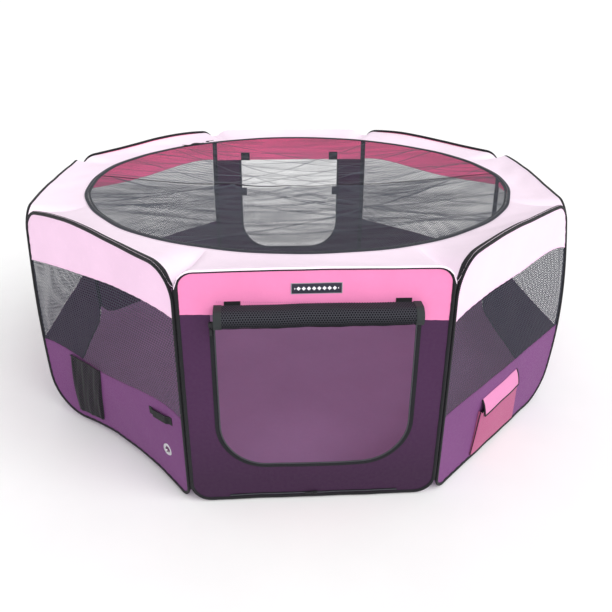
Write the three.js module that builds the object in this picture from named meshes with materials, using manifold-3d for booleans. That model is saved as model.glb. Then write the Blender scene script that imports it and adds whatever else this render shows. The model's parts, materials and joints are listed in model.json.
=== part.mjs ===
// Eight-panel fabric pet playpen with a zip-off mesh top and two roll-up mesh doors.
// Millimetres, +Z up, front towards -Y, origin at the middle of the floor's underside.
import * as THREE from 'three';
import { mergeVertices } from 'three/addons/utils/BufferGeometryUtils.js';
import Module from 'manifold-3d';

const wasm = await Module();
wasm.setup();

// ---- Driving dimensions ----
const PANEL_PITCH = 600;          // hinge line to hinge line, one side of the octagon
const PANEL_TOP = 610;            // height of a panel's top edge
const PANEL_BOTTOM = 2.4;         // panels stand just above the floor sheet
const PANEL_COUNT = 8;
const CLEARANCE = 0.4;            // gap kept between neighbouring pieces

const TOP_RADIUS = 55;            // corner radii of a panel's outline
const BOTTOM_RADIUS = 82;
const BINDING_WIDTH = 14;
const BINDING_THICKNESS = 7;
const BINDING_WALL = 1.6;
const WIRE_DIAMETER = 3.2;
const FABRIC_THICKNESS = 1;

const UPPER_SEAM = 491;           // lower edge of the upper band
const LOWER_SEAM = 235;           // upper edge of the lower band

const TOP_OPENING_RADIUS = 626;   // round hole of the top ring
const TOP_TAPE_INNER = 618;
const TOP_TAPE_OUTER = 636;
const TOP_MESH_RADIUS = 617.4;
const TOP_SLIDER_ANGLE = 121;     // degrees, counter-clockwise from +X
const SHEET_THICKNESS = 1.2;

const FLOOR_THICKNESS = 2;
const FLOOR_HALF_SIDE = 236;      // the floor's corners are cut off beyond this

const ARC_STEPS = 3;              // half the straight steps in a corner's quarter turn
const CIRCLE_STEPS = 32;          // half the straight steps in a full circle

// ---- Values worked out from them ----
const APOTHEM = PANEL_PITCH / 2 / Math.tan(Math.PI / PANEL_COUNT);
const PANEL_HALF = PANEL_PITCH / 2 - CLEARANCE;
// Depths are counted outward from the plane that holds the hinge lines.
const BINDING_IN = 0.5;
const BINDING_OUT = BINDING_IN + BINDING_THICKNESS;
const FABRIC_IN = BINDING_IN + (BINDING_THICKNESS - FABRIC_THICKNESS) / 2;
const FABRIC_OUT = FABRIC_IN + FABRIC_THICKNESS;
const WIRE_INSET = BINDING_WALL + CLEARANCE + WIRE_DIAMETER / 2;
const FABRIC_INSET = WIRE_INSET + WIRE_DIAMETER / 2 + CLEARANCE;
const RING_APOTHEM = APOTHEM + BINDING_OUT;
const RING_BOTTOM = PANEL_TOP + 1;
const TAPE_BOTTOM = RING_BOTTOM + SHEET_THICKNESS + CLEARANCE;

const DOORS = {
  front: { half: 218, bottom: 101, rollLeft: -221, rollRight: 232, strapLeft: -197, strapRight: 171 },
  back: { half: 198, bottom: 112, rollLeft: -212, rollRight: 212, strapLeft: -196, strapRight: 161 },
};
const DOOR_TAPE_WIDTH = 16;
const DOOR_TAPE_LAP = 4;          // how far the tape covers the surround's edge
const DOOR_CORNER_RADIUS = 114;
const ROLL_RADIUS = 26.5;
const ROLL_CENTRE_HEIGHT = 504;
const ROLL_SEAM_HEIGHT = 530;
const STRAP_WIDTH = 35;
const STRAP_THICKNESS = 1.2;

// ---- Colours ----
const BLACK = 0x24242a;
const PALE_PINK = 0xfdeaf8;
const HOT_PINK = 0xfa82b4;
const PURPLE = 0x7d467d;
const DARK_PURPLE = 0x50325a;
const MAUVE = 0x7b5a7b;
const POCKET_PINK = 0xe182af;
const FLAP_PINK = 0xf096c8;

const fabric = (color) => new THREE.MeshStandardMaterial({ color, roughness: 0.85, metalness: 0 });
const metal = (color) => new THREE.MeshStandardMaterial({ color, roughness: 0.3, metalness: 1 });

const playpen = new THREE.Group();

function addMesh(parent, name, geometry, material) {
  const mesh = new THREE.Mesh(geometry, material);
  mesh.name = name;
  parent.add(mesh);
  return mesh;
}

// ---- Joining and cutting closed meshes ----
function toSolid(geometry) {
  const bare = geometry.clone();
  bare.deleteAttribute('normal');
  bare.deleteAttribute('uv');
  const merged = mergeVertices(bare, 1e-3);
  return new wasm.Manifold(new wasm.Mesh({
    numProp: 3,
    vertProperties: new Float32Array(merged.attributes.position.array),
    triVerts: new Uint32Array(merged.index.array),
  }));
}

function toGeometry(solid) {
  const mesh = solid.getMesh();
  const geometry = new THREE.BufferGeometry();
  geometry.setAttribute('position', new THREE.BufferAttribute(mesh.vertProperties, 3));
  geometry.setIndex(new THREE.BufferAttribute(mesh.triVerts, 1));
  return geometry;
}

const subtract = (body, tool) => toGeometry(toSolid(body).subtract(toSolid(tool)));
const join = (first, second) => toGeometry(toSolid(first).add(toSolid(second)));

// ---- Outlines ----
// A rectangle with one radius for both bottom corners and one for both top corners.
function roundedRectangle(outline, left, low, right, high, bottomRadius, topRadius) {
  const quarter = Math.PI / 2;
  outline.moveTo(left + bottomRadius, low);
  outline.lineTo(right - bottomRadius, low);
  if (bottomRadius > 0) outline.absarc(right - bottomRadius, low + bottomRadius, bottomRadius, -quarter, 0);
  outline.lineTo(right, high - topRadius);
  if (topRadius > 0) outline.absarc(right - topRadius, high - topRadius, topRadius, 0, quarter);
  outline.lineTo(left + topRadius, high);
  if (topRadius > 0) outline.absarc(left + topRadius, high - topRadius, topRadius, quarter, 2 * quarter);
  outline.lineTo(left, low + bottomRadius);
  if (bottomRadius > 0) outline.absarc(left + bottomRadius, low + bottomRadius, bottomRadius, 2 * quarter, 3 * quarter);
  outline.closePath();
  return outline;
}

// The panel's outline, moved inward by an inset.
function panelOutline(outline, inset) {
  const half = PANEL_HALF - inset;
  return roundedRectangle(outline, -half, PANEL_BOTTOM + inset, half, PANEL_TOP - inset,
    BOTTOM_RADIUS - inset, TOP_RADIUS - inset);
}

// A band all round the panel between two insets.
function loopShape(outerInset, innerInset) {
  const shape = panelOutline(new THREE.Shape(), outerInset);
  shape.holes.push(panelOutline(new THREE.Path(), innerInset));
  return shape;
}

// A U that is open at the top: an outer and an inner edge, each with round bottom corners.
function letterU(top, outer, inner) {
  const shape = new THREE.Shape();
  const quarter = Math.PI / 2;
  shape.moveTo(-outer.half, top);
  shape.lineTo(-outer.half, outer.bottom + outer.radius);
  shape.absarc(-outer.half + outer.radius, outer.bottom + outer.radius, outer.radius, 2 * quarter, 3 * quarter);
  shape.lineTo(outer.half - outer.radius, outer.bottom);
  shape.absarc(outer.half - outer.radius, outer.bottom + outer.radius, outer.radius, 3 * quarter, 4 * quarter);
  shape.lineTo(outer.half, top);
  shape.lineTo(inner.half, top);
  shape.lineTo(inner.half, inner.bottom + inner.radius);
  shape.absarc(inner.half - inner.radius, inner.bottom + inner.radius, inner.radius, 0, -quarter, true);
  shape.lineTo(-inner.half + inner.radius, inner.bottom);
  shape.absarc(-inner.half + inner.radius, inner.bottom + inner.radius, inner.radius, 3 * quarter, 2 * quarter, true);
  shape.lineTo(-inner.half, top);
  shape.closePath();
  return shape;
}

function polygon(points) {
  return new THREE.Shape(points.map(([x, y]) => new THREE.Vector2(x, y)));
}

// ---- Plates and bars in a panel's own frame: X right, Y inward, Z up ----
// Stands an outline drawn in X and Z up as a plate whose inner face lies at the given depth.
function plate(shape, depth, thickness, steps = ARC_STEPS) {
  const geometry = new THREE.ExtrudeGeometry(shape, { depth: thickness, bevelEnabled: false, curveSegments: steps });
  geometry.rotateX(Math.PI / 2);
  geometry.translate(0, -depth, 0);
  return geometry;
}

// Runs a section drawn as depth and height along X.
function bar(points, left, right) {
  const geometry = new THREE.ExtrudeGeometry(polygon(points), { depth: right - left, bevelEnabled: false });
  const placement = new THREE.Matrix4().makeBasis(
    new THREE.Vector3(0, -1, 0), new THREE.Vector3(0, 0, 1), new THREE.Vector3(-1, 0, 0));
  placement.setPosition(right, 0, 0);
  geometry.applyMatrix4(placement);
  return geometry;
}

// A small zip slider with its pull hanging from it, drawn with its body's middle at the origin.
function sliderShape() {
  const bodyHalf = 4.6;
  const bodyHigh = 6;
  const pullHalf = 2.8;
  const pullEnd = -27;
  const shape = new THREE.Shape();
  shape.moveTo(-bodyHalf, bodyHigh);
  shape.lineTo(-bodyHalf, -bodyHigh);
  shape.lineTo(-pullHalf, -bodyHigh);
  shape.lineTo(-pullHalf, pullEnd + pullHalf);
  shape.absarc(0, pullEnd + pullHalf, pullHalf, Math.PI, 2 * Math.PI);
  shape.lineTo(pullHalf, -bodyHigh);
  shape.lineTo(bodyHalf, -bodyHigh);
  shape.lineTo(bodyHalf, bodyHigh);
  shape.closePath();
  return shape;
}

function slider(x, height, depth) {
  const thickness = 3.2;
  const geometry = plate(sliderShape(), depth, thickness, 4);
  geometry.translate(x, 0, height);
  return geometry;
}

// ---- Pieces that every panel has ----
// The wire is a closed loop with an eight-sided section.
function frameWire() {
  const flat = WIRE_DIAMETER * (Math.SQRT2 - 1);
  const slope = (WIRE_DIAMETER - flat) / 2;
  const shape = loopShape(WIRE_INSET - flat / 2, WIRE_INSET + flat / 2);
  const geometry = new THREE.ExtrudeGeometry(shape, {
    depth: flat,
    bevelThickness: slope,
    bevelSize: slope,
    bevelSegments: 1,
    curveSegments: ARC_STEPS,
  });
  geometry.rotateX(Math.PI / 2);
  geometry.translate(0, -(BINDING_IN + BINDING_OUT - flat) / 2, 0);
  return geometry;
}

// The binding is a channel folded round the panel's edge, open towards the panel's middle.
function binding() {
  const band = plate(loopShape(0, BINDING_WIDTH), BINDING_IN, BINDING_THICKNESS);
  const groove = plate(loopShape(BINDING_WALL, BINDING_WIDTH + 1),
    BINDING_IN + BINDING_WALL, BINDING_THICKNESS - 2 * BINDING_WALL);
  return subtract(band, groove);
}

// One cloth of the panel, between two heights. A radius of 0 leaves a straight seam.
function clothShape(low, high, bottomRadius, topRadius) {
  const half = PANEL_HALF - FABRIC_INSET;
  return roundedRectangle(new THREE.Shape(), -half, low, half, high, bottomRadius, topRadius);
}

const CLOTH_TOP = PANEL_TOP - FABRIC_INSET;
const CLOTH_BOTTOM = PANEL_BOTTOM + FABRIC_INSET;
const CLOTH_TOP_RADIUS = TOP_RADIUS - FABRIC_INSET;
const CLOTH_BOTTOM_RADIUS = BOTTOM_RADIUS - FABRIC_INSET;

function addFrameAndBand(group, name, bandColor) {
  addMesh(group, `${name}_frame_wire`, frameWire(), metal(0x8c8c90));
  addMesh(group, `${name}_binding`, binding(), fabric(BLACK));
  const band = clothShape(UPPER_SEAM, CLOTH_TOP, 0, CLOTH_TOP_RADIUS);
  addMesh(group, `${name}_upper_band`, plate(band, FABRIC_IN, FABRIC_THICKNESS), fabric(bandColor));
}

// ---- Plain panels: a mesh window over a lower band ----
function addWindowPanel(group, name, hole) {
  addFrameAndBand(group, name, PALE_PINK);
  const window = clothShape(LOWER_SEAM + CLEARANCE, UPPER_SEAM - CLEARANCE, 0, 0);
  addMesh(group, `${name}_window_mesh`, plate(window, FABRIC_IN, FABRIC_THICKNESS), fabric(BLACK));
  const lower = clothShape(CLOTH_BOTTOM, LOWER_SEAM, CLOTH_BOTTOM_RADIUS, 0);
  if (hole) lower.holes.push(hole);
  addMesh(group, `${name}_lower_band`, plate(lower, FABRIC_IN, FABRIC_THICKNESS), fabric(PURPLE));
}

// ---- Door panels ----
function doorSurround(door) {
  const lap = DOOR_TAPE_WIDTH - DOOR_TAPE_LAP;
  const outer = { half: PANEL_HALF - FABRIC_INSET, bottom: CLOTH_BOTTOM, radius: CLOTH_BOTTOM_RADIUS };
  const inner = { half: door.half + lap, bottom: door.bottom - lap, radius: DOOR_CORNER_RADIUS + lap };
  return plate(letterU(UPPER_SEAM - CLEARANCE, outer, inner), FABRIC_IN, FABRIC_THICKNESS);
}

function doorZipTape(door) {
  const outer = {
    half: door.half + DOOR_TAPE_WIDTH,
    bottom: door.bottom - DOOR_TAPE_WIDTH,
    radius: DOOR_CORNER_RADIUS + DOOR_TAPE_WIDTH,
  };
  const inner = { half: door.half, bottom: door.bottom, radius: DOOR_CORNER_RADIUS };
  return plate(letterU(UPPER_SEAM - CLEARANCE, outer, inner), FABRIC_OUT + CLEARANCE, FABRIC_THICKNESS);
}

// The rolled door hangs from a flat flap of itself, sewn to the band above the doorway.
function doorRoll(door) {
  const length = door.rollRight - door.rollLeft;
  const middle = (door.rollRight + door.rollLeft) / 2;
  const rollDepth = BINDING_OUT + ROLL_RADIUS;
  const roll = new THREE.CylinderGeometry(ROLL_RADIUS, ROLL_RADIUS, length, 24);
  roll.rotateZ(Math.PI / 2);
  roll.translate(middle, -rollDepth, ROLL_CENTRE_HEIGHT);
  const flapIn = FABRIC_OUT + 2;
  const flap = bar([
    [flapIn, ROLL_SEAM_HEIGHT - 1.5],
    [rollDepth, ROLL_SEAM_HEIGHT - 1.5],
    [rollDepth, ROLL_SEAM_HEIGHT],
    [flapIn, ROLL_SEAM_HEIGHT],
  ], door.rollLeft + 4, door.rollRight - 4);
  return join(roll, flap);
}

// Each strap folds over the band's lower edge, long leg outside and short leg inside.
function doorStrap(left) {
  const outsideTop = 537;
  const insideTop = 521;
  const outer = FABRIC_OUT + CLEARANCE;
  const inner = FABRIC_IN - CLEARANCE;
  const foldLow = UPPER_SEAM - CLEARANCE - STRAP_THICKNESS;
  const foldHigh = UPPER_SEAM - CLEARANCE;
  return bar([
    [inner - STRAP_THICKNESS, foldLow],
    [outer + STRAP_THICKNESS, foldLow],
    [outer + STRAP_THICKNESS, outsideTop],
    [outer, outsideTop],
    [outer, foldHigh],
    [inner, foldHigh],
    [inner, insideTop],
    [inner - STRAP_THICKNESS, insideTop],
  ], left, left + STRAP_WIDTH);
}

function addDoorPanel(group, name, door) {
  addFrameAndBand(group, name, HOT_PINK);
  addMesh(group, `${name}_door_surround`, doorSurround(door), fabric(DARK_PURPLE));
  addMesh(group, `${name}_door_zip_tape`, doorZipTape(door), fabric(BLACK));
  addMesh(group, `${name}_door_roll`, doorRoll(door), fabric(BLACK));
  addMesh(group, `${name}_door_strap_left`, doorStrap(door.strapLeft), fabric(BLACK));
  addMesh(group, `${name}_door_strap_right`, doorStrap(door.strapRight), fabric(BLACK));
  const tapeMiddle = -door.half - DOOR_TAPE_WIDTH / 2;
  const sliderDepth = FABRIC_OUT + 2 * CLEARANCE + FABRIC_THICKNESS;
  const parked = slider(tapeMiddle - 2, UPPER_SEAM - 8, sliderDepth);
  addMesh(group, `${name}_door_slider`, parked, metal(BLACK));
}

// ---- Things sewn to the front panel ----
function addFrontFittings(group) {
  const label = roundedRectangle(new THREE.Shape(), -55, 549.5, 55, 574.5, 0, 0);
  addMesh(group, 'woven_label', plate(label, FABRIC_OUT + CLEARANCE, 0.8), fabric(0x141428));
  // The floor zip runs along the panel's foot, so its slider lies on its side.
  const floorSlider = slider(0, 0, 0).rotateY(-Math.PI / 2);
  floorSlider.translate(2, -BINDING_OUT - CLEARANCE, 18);
  addMesh(group, 'floor_slider', floorSlider, metal(BLACK));
}

// ---- Treat pocket and flap, front right panel ----
function addTreatPocket(group) {
  const left = -128;
  const right = 92;
  const wall = 1.4;
  const low = CLOTH_BOTTOM + 10;
  const high = 150;
  const back = FABRIC_OUT + CLEARANCE;
  const bottomDepth = back + 5;
  const topDepth = back + 12;
  const body = bar([[back, low], [bottomDepth, low], [topDepth, high], [back, high]], left, right);
  const room = bar([
    [back - 1, low + wall],
    [bottomDepth - wall, low + wall],
    [topDepth - wall, high],
    [topDepth - wall, high + 1],
    [back - 1, high + 1],
  ], left + wall, right - wall);
  addMesh(group, 'treat_pocket', subtract(body, room), fabric(POCKET_PINK));

  const hingeHeight = 185;
  const flapLow = 141;
  const front = topDepth + 3;
  const kneeHeight = 174;
  const flap = bar([
    [back, hingeHeight - wall],
    [front - wall, kneeHeight - wall],
    [front - wall, flapLow],
    [front, flapLow],
    [front, kneeHeight],
    [back, hingeHeight],
  ], -112, 72);
  addMesh(group, 'treat_pocket_flap', flap, fabric(FLAP_PINK));
}

// ---- Mesh pocket, bottle strap and eyelet, front left panel ----
const EYELET = { x: 222, height: 113, bore: 7.5, barrel: 8.4, flange: 17.5, hole: 9.6 };

// A twelve-sided hole in the cloth, a little wider than the eyelet's barrel.
function eyeletHole() {
  const sides = 12;
  const points = Array.from({ length: sides }, (_, index) => {
    const angle = index * 2 * Math.PI / sides;
    return new THREE.Vector2(EYELET.x + EYELET.hole * Math.cos(angle), EYELET.height + EYELET.hole * Math.sin(angle));
  });
  return new THREE.Path(points);
}

function addSidePockets(group) {
  const wall = 1.2;
  const back = FABRIC_OUT + CLEARANCE;
  const front = back + 13;
  const pocket = bar([[back, 60], [front, 60], [front, 228], [back, 228]], -200, -60);
  const room = bar([[back - 1, 60 + wall], [front - wall, 60 + wall], [front - wall, 229], [back - 1, 229]],
    -200 + wall, -60 - wall);
  addMesh(group, 'mesh_pocket', subtract(pocket, room), fabric(BLACK));

  const strapLeft = 160;
  const strapRight = 247;
  const endLength = 10;
  const thickness = 1.6;
  const bow = 8;
  const strap = polygon([
    [strapLeft, back],
    [strapLeft + endLength, back],
    [strapLeft + 2 * endLength, back + bow],
    [strapRight - 2 * endLength, back + bow],
    [strapRight - endLength, back],
    [strapRight, back],
    [strapRight, back + thickness],
    [strapRight - endLength, back + thickness],
    [strapRight - 2 * endLength, back + bow + thickness],
    [strapLeft + 2 * endLength, back + bow + thickness],
    [strapLeft + endLength, back + thickness],
    [strapLeft, back + thickness],
  ]);
  const webbing = new THREE.ExtrudeGeometry(strap, { depth: 22, bevelEnabled: false });
  webbing.rotateX(Math.PI);
  webbing.translate(0, 0, 192 + 22);
  addMesh(group, 'bottle_strap', webbing, fabric(BLACK));

  const inner = FABRIC_IN - CLEARANCE;
  const outer = FABRIC_OUT + CLEARANCE;
  const lip = 1.2;
  const section = [
    [EYELET.bore, inner - lip],
    [EYELET.flange - 3, inner - lip],
    [EYELET.flange - 3, inner],
    [EYELET.barrel, inner],
    [EYELET.barrel, outer],
    [EYELET.flange, outer],
    [EYELET.flange - 1, outer + lip],
    [EYELET.bore, outer + lip],
    [EYELET.bore, inner - lip],
  ];
  const eyelet = new THREE.LatheGeometry(section.map(([r, d]) => new THREE.Vector2(r, d)), 24);
  eyelet.rotateZ(Math.PI);
  eyelet.translate(EYELET.x, 0, EYELET.height);
  addMesh(group, 'hose_eyelet', eyelet, metal(0xc8c8cc));
}

// ---- Top ring, its zip and the mesh top ----
function circle(path, radius) {
  return path.absarc(0, 0, radius, 0, 2 * Math.PI);
}

// Corner points of the octagon whose sides lie at the given distance from the middle.
function octagonCorners(apothem) {
  const reach = apothem / Math.cos(Math.PI / PANEL_COUNT);
  return Array.from({ length: PANEL_COUNT }, (_, index) => {
    const angle = (2 * index + 1) * Math.PI / PANEL_COUNT;
    return [reach * Math.cos(angle), reach * Math.sin(angle)];
  });
}

function flatSheet(shape, height, thickness) {
  const options = { depth: thickness, bevelEnabled: false, curveSegments: CIRCLE_STEPS };
  return new THREE.ExtrudeGeometry(shape, options).translate(0, 0, height);
}

function addTop() {
  const ring = polygon(octagonCorners(RING_APOTHEM));
  ring.holes.push(circle(new THREE.Path(), TOP_OPENING_RADIUS));
  addMesh(playpen, 'top_ring', flatSheet(ring, RING_BOTTOM, SHEET_THICKNESS), fabric(PALE_PINK));

  const tape = circle(new THREE.Shape(), TOP_TAPE_OUTER);
  tape.holes.push(circle(new THREE.Path(), TOP_TAPE_INNER));
  addMesh(playpen, 'top_zip_tape', flatSheet(tape, TAPE_BOTTOM, 1), fabric(BLACK));

  const mesh = circle(new THREE.Shape(), TOP_MESH_RADIUS);
  addMesh(playpen, 'top_mesh', flatSheet(mesh, TAPE_BOTTOM, 1), fabric(BLACK));

  const pull = new THREE.ExtrudeGeometry(sliderShape(), { depth: 3.2, bevelEnabled: false, curveSegments: 4 });
  const topSlider = addMesh(playpen, 'top_slider', pull, metal(BLACK));
  const angle = THREE.MathUtils.degToRad(TOP_SLIDER_ANGLE);
  const track = (TOP_TAPE_INNER + TOP_TAPE_OUTER) / 2;
  topSlider.position.set(track * Math.cos(angle), track * Math.sin(angle), TAPE_BOTTOM + 1 + CLEARANCE);
  topSlider.rotation.z = angle;
}

// ---- Floor ----
// Its sides lie under the panels, and its corners are cut straight across.
function addFloor() {
  const points = [];
  for (let side = 0; side < PANEL_COUNT; side += 1) {
    const facing = side * 2 * Math.PI / PANEL_COUNT;
    for (const along of [-FLOOR_HALF_SIDE, FLOOR_HALF_SIDE]) {
      const corner = new THREE.Vector2(RING_APOTHEM, along).rotateAround(new THREE.Vector2(), facing);
      points.push([corner.x, corner.y]);
    }
  }
  const sheet = new THREE.ExtrudeGeometry(polygon(points), { depth: FLOOR_THICKNESS, bevelEnabled: false });
  addMesh(playpen, 'floor_sheet', sheet, fabric(MAUVE));
}

// ---- Assembly ----
// Panels in order round the octagon, counter-clockwise from the front.
const PANEL_NAMES = ['front', 'front_right', 'right', 'back_right', 'back', 'back_left', 'left', 'front_left'];

function panelGroup(index) {
  const facing = -Math.PI / 2 + index * 2 * Math.PI / PANEL_COUNT;
  const group = new THREE.Group();
  group.position.set(APOTHEM * Math.cos(facing), APOTHEM * Math.sin(facing), 0);
  group.rotation.z = facing + Math.PI / 2;
  playpen.add(group);
  return group;
}

PANEL_NAMES.forEach((name, index) => {
  const group = panelGroup(index);
  if (name in DOORS) addDoorPanel(group, name, DOORS[name]);
  else addWindowPanel(group, name, name === 'front_left' ? eyeletHole() : null);
  if (name === 'front') addFrontFittings(group);
  if (name === 'front_right') addTreatPocket(group);
  if (name === 'front_left') addSidePockets(group);
});
addTop();
addFloor();

export default playpen;
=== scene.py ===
import json

import bmesh
import bpy
import numpy as np
from mathutils import Matrix, Vector
from numpy import clip, cos, hypot, linspace, pi, radians, sin, where


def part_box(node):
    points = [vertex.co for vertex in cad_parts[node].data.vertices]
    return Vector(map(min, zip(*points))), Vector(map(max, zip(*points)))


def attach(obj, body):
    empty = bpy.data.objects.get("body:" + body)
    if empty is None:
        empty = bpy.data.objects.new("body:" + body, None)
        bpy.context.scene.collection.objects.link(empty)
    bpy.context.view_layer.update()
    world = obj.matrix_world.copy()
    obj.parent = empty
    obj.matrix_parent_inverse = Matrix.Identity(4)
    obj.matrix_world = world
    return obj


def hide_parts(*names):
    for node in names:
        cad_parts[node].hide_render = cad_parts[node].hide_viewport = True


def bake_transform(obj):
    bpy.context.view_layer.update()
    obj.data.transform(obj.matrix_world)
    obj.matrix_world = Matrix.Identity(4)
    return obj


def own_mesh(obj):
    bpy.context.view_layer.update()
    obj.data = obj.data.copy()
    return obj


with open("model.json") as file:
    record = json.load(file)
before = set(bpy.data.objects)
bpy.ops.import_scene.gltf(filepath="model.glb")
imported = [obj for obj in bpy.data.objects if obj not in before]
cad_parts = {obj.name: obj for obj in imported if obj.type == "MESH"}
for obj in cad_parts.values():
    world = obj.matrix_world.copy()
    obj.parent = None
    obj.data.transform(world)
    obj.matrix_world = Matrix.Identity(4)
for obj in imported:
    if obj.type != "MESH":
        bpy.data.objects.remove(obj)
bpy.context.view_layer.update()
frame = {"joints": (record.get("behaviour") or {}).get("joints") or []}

# ---- Values taken from the frame, in metres ----
MM = 0.001
PANELS = ("front", "front_right", "right", "back_right", "back", "back_left", "left", "front_left")
HINGE = next(joint["pos_m"] for joint in frame["joints"] if joint["name"] == "pen_fold")
HALF, APOTHEM = HINGE[0], -HINGE[1]
PITCH = 2 * HALF
BINDING_LOW, BINDING_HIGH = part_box("front_binding")
PANEL_LOW, PANEL_TOP, PANEL_HALF = BINDING_LOW.z, BINDING_HIGH.z, BINDING_HIGH.x
BINDING_DEPTHS = (-BINDING_HIGH.y - APOTHEM, -BINDING_LOW.y - APOTHEM)
BAND_LOW, BAND_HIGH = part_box("front_upper_band")
UPPER_SEAM = BAND_LOW.z
LOWER_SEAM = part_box("left_lower_band")[1].z
CLOTH_INSET = PANEL_TOP - BAND_HIGH.z
CLOTH_DEPTH = -(BAND_LOW.y + BAND_HIGH.y) / 2 - APOTHEM
CLOTH_HALF = PANEL_HALF - CLOTH_INSET
CLOTH_LOW, CLOTH_TOP = PANEL_LOW + CLOTH_INSET, PANEL_TOP - CLOTH_INSET
TOP_MESH_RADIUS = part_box("top_mesh")[1].x

# ---- Dimensions of the sewn parts, in metres ----
BINDING_WIDTH = 8 * MM
WIRE_RADIUS = 1.6 * MM
WIRE_INSET = 3.6 * MM             # from the panel's outline to the wire's middle
COIL_RADIUS = 1.6 * MM            # of a doorway's zip coil
CLOTH_THICKNESS = 1.0 * MM
MESH_THICKNESS = 0.4 * MM
OPENING_RADIUS = TOP_MESH_RADIUS + 8.6 * MM
RIM_HEIGHT = 601 * MM
TOP_SAG = 46 * MM
SEAM_Y = 62 * MM                  # where the seam crosses the mesh top, behind the middle
GRID_STEP = 8 * MM
DOOR_RADIUS = 114 * MM
TAPE_WIDTH = 10 * MM
TAPE_LAP = 3 * MM
TAPE_DEPTH = 5.4 * MM
STRAP_WIDTH = 35 * MM
ROLL_RADIUS = 22.0 * MM
ROLL_CENTRE = (30 * MM, 507 * MM)

# ---- Tables in millimetres ----
DOORS = {
    "front": {"half": 221, "low": 107, "roll": (-219, 226), "straps": (-197, 171)},
    "back": {"half": 198, "low": 112, "roll": (-212, 212), "straps": (-196, 161)},
}
# Where the eyelet sits, its bore, its flange and the hole in the cloth.
EYELET = {"x": 216, "z": 103, "bore": 8.4, "flange": 16.5, "hole": 10.3}
# Corner radii of a panel, seen from outside: lower left, lower right, upper left, upper right.
USUAL_RADII = (62, 62, 55, 55)
RADII = {"front": (50, 50, 40, 40), "front_left": (125, 35, 50, 80), "left": (62, 125, 55, 55),
         "front_right": (35, 95, 80, 50)}
# How far tension pulls each panel out of true: rise of its top edge and of its bottom edge,
# inward pull of its foot, outward belly of its cloth and sideways sway.
TENSION = {
    "front": (3, 0, 0, 3, 0), "front_right": (19, 2, 0, 5, -3), "right": (8, 4, 4, 4, 3),
    "back_right": (14, 5, 4, 4, 5), "back": (3, 2, 2, 3, 0), "back_left": (14, 5, 4, 4, -5),
    "left": (8, 4, 4, 4, 3), "front_left": (20, 20, 27, 5, -6),
}
# The eight hinge lines, counted from the one right of the front panel: outward bow, outward lean
# of the head, and how far the ring's edge drops there with the panels' rounded corners.
CORNER_BOW = (2, 22, 6, 4, 4, 6, 10, 2)
CORNER_LEAN = (0, -14, 0, 0, 0, 0, 0, 0)
CORNER_DIP = (38, 26, 20, 20, 20, 20, 26, 38)
# How far below the top of the binding the ring is sewn on; the back corners' binding stands up.
RING_DROP = {"back_left": 9, "back_right": 9, "left": 3, "right": 3}
# How far the sewn seams wander up or down at five places across a panel, left to right.
SEAM_STATIONS = (-1, -0.5, 0, 0.5, 1)
SEAM_WANDER = {
    "front": {UPPER_SEAM: (18, 12, 4, -4, -10)},
    "front_left": {UPPER_SEAM: (-14, -8, 4, 14, 3), LOWER_SEAM: (4, 0, -9, 7, -1)},
    "front_right": {UPPER_SEAM: (-22, -6, -2, 8, -8), LOWER_SEAM: (-16, -9, -5, 4, 14)},
    "left": {UPPER_SEAM: (4, -5, 3, 6, -4)},
    "back_left": {UPPER_SEAM: (3, 6, -4, -5, 4)},
    "back_right": {UPPER_SEAM: (4, -4, -6, 4, 3)},
}
# Old fold lines across the mesh top: angle of the line, its distance from the middle and its height.
TOP_CREASES = ((-4, 60, 5), (12, -110, 4), (28, 150, 4), (-33, -60, 4), (41, 210, 3), (-38, 120, 3),
               (22, -20, 3), (-15, 240, 3), (-18, 310, 4), (36, -260, 3), (8, 330, 3), (-28, 350, 3),
               (3, -190, 3), (-7, -330, 3), (17, 20, 4), (-12, 130, 3), (31, 60, 3), (-25, -180, 3),
               (1, 180, 3), (-44, 20, 3), (10, -420, 3), (-3, 430, 3))


# ---- From a panel's own coordinates to the shared frame ----
def panel_turn(panel):
    return radians(-90 + 45 * PANELS.index(panel))


def panel_axes(panel):
    """Outward and rightward directions of a panel, as seen from outside."""
    facing = panel_turn(panel)
    return np.array([cos(facing), sin(facing), 0.0]), np.array([-sin(facing), cos(facing), 0.0])


def radii_of(panel):
    return np.array(RADII.get(panel, USUAL_RADII)) * MM


def column(values):
    return np.asarray(values)[:, None]


def seam_shift(panel, x, z):
    """How far the cloth at a point sits above its true place because a seam wanders."""
    shift = np.zeros(np.broadcast(x, z).shape)
    for height, wander in SEAM_WANDER.get(panel, {}).items():
        curve = np.polyval(np.polyfit(SEAM_STATIONS, wander, 4), clip(x / HALF, -1, 1)) * MM
        shift = shift + curve * np.exp(-((z - height) / (60 * MM)) ** 2)
    return shift


def ripple(panel, x, z):
    """Gentle hand-made unevenness of a panel's cloth."""
    phase = 1.7 * PANELS.index(panel)
    return (0.9 * MM * sin(17 * x + 9 * z + phase) + 0.7 * MM * sin(-29 * x + 21 * z + 2.3 * phase)
            + 0.35 * MM * sin(61 * x + 37 * z + 0.6 * phase))


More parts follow.
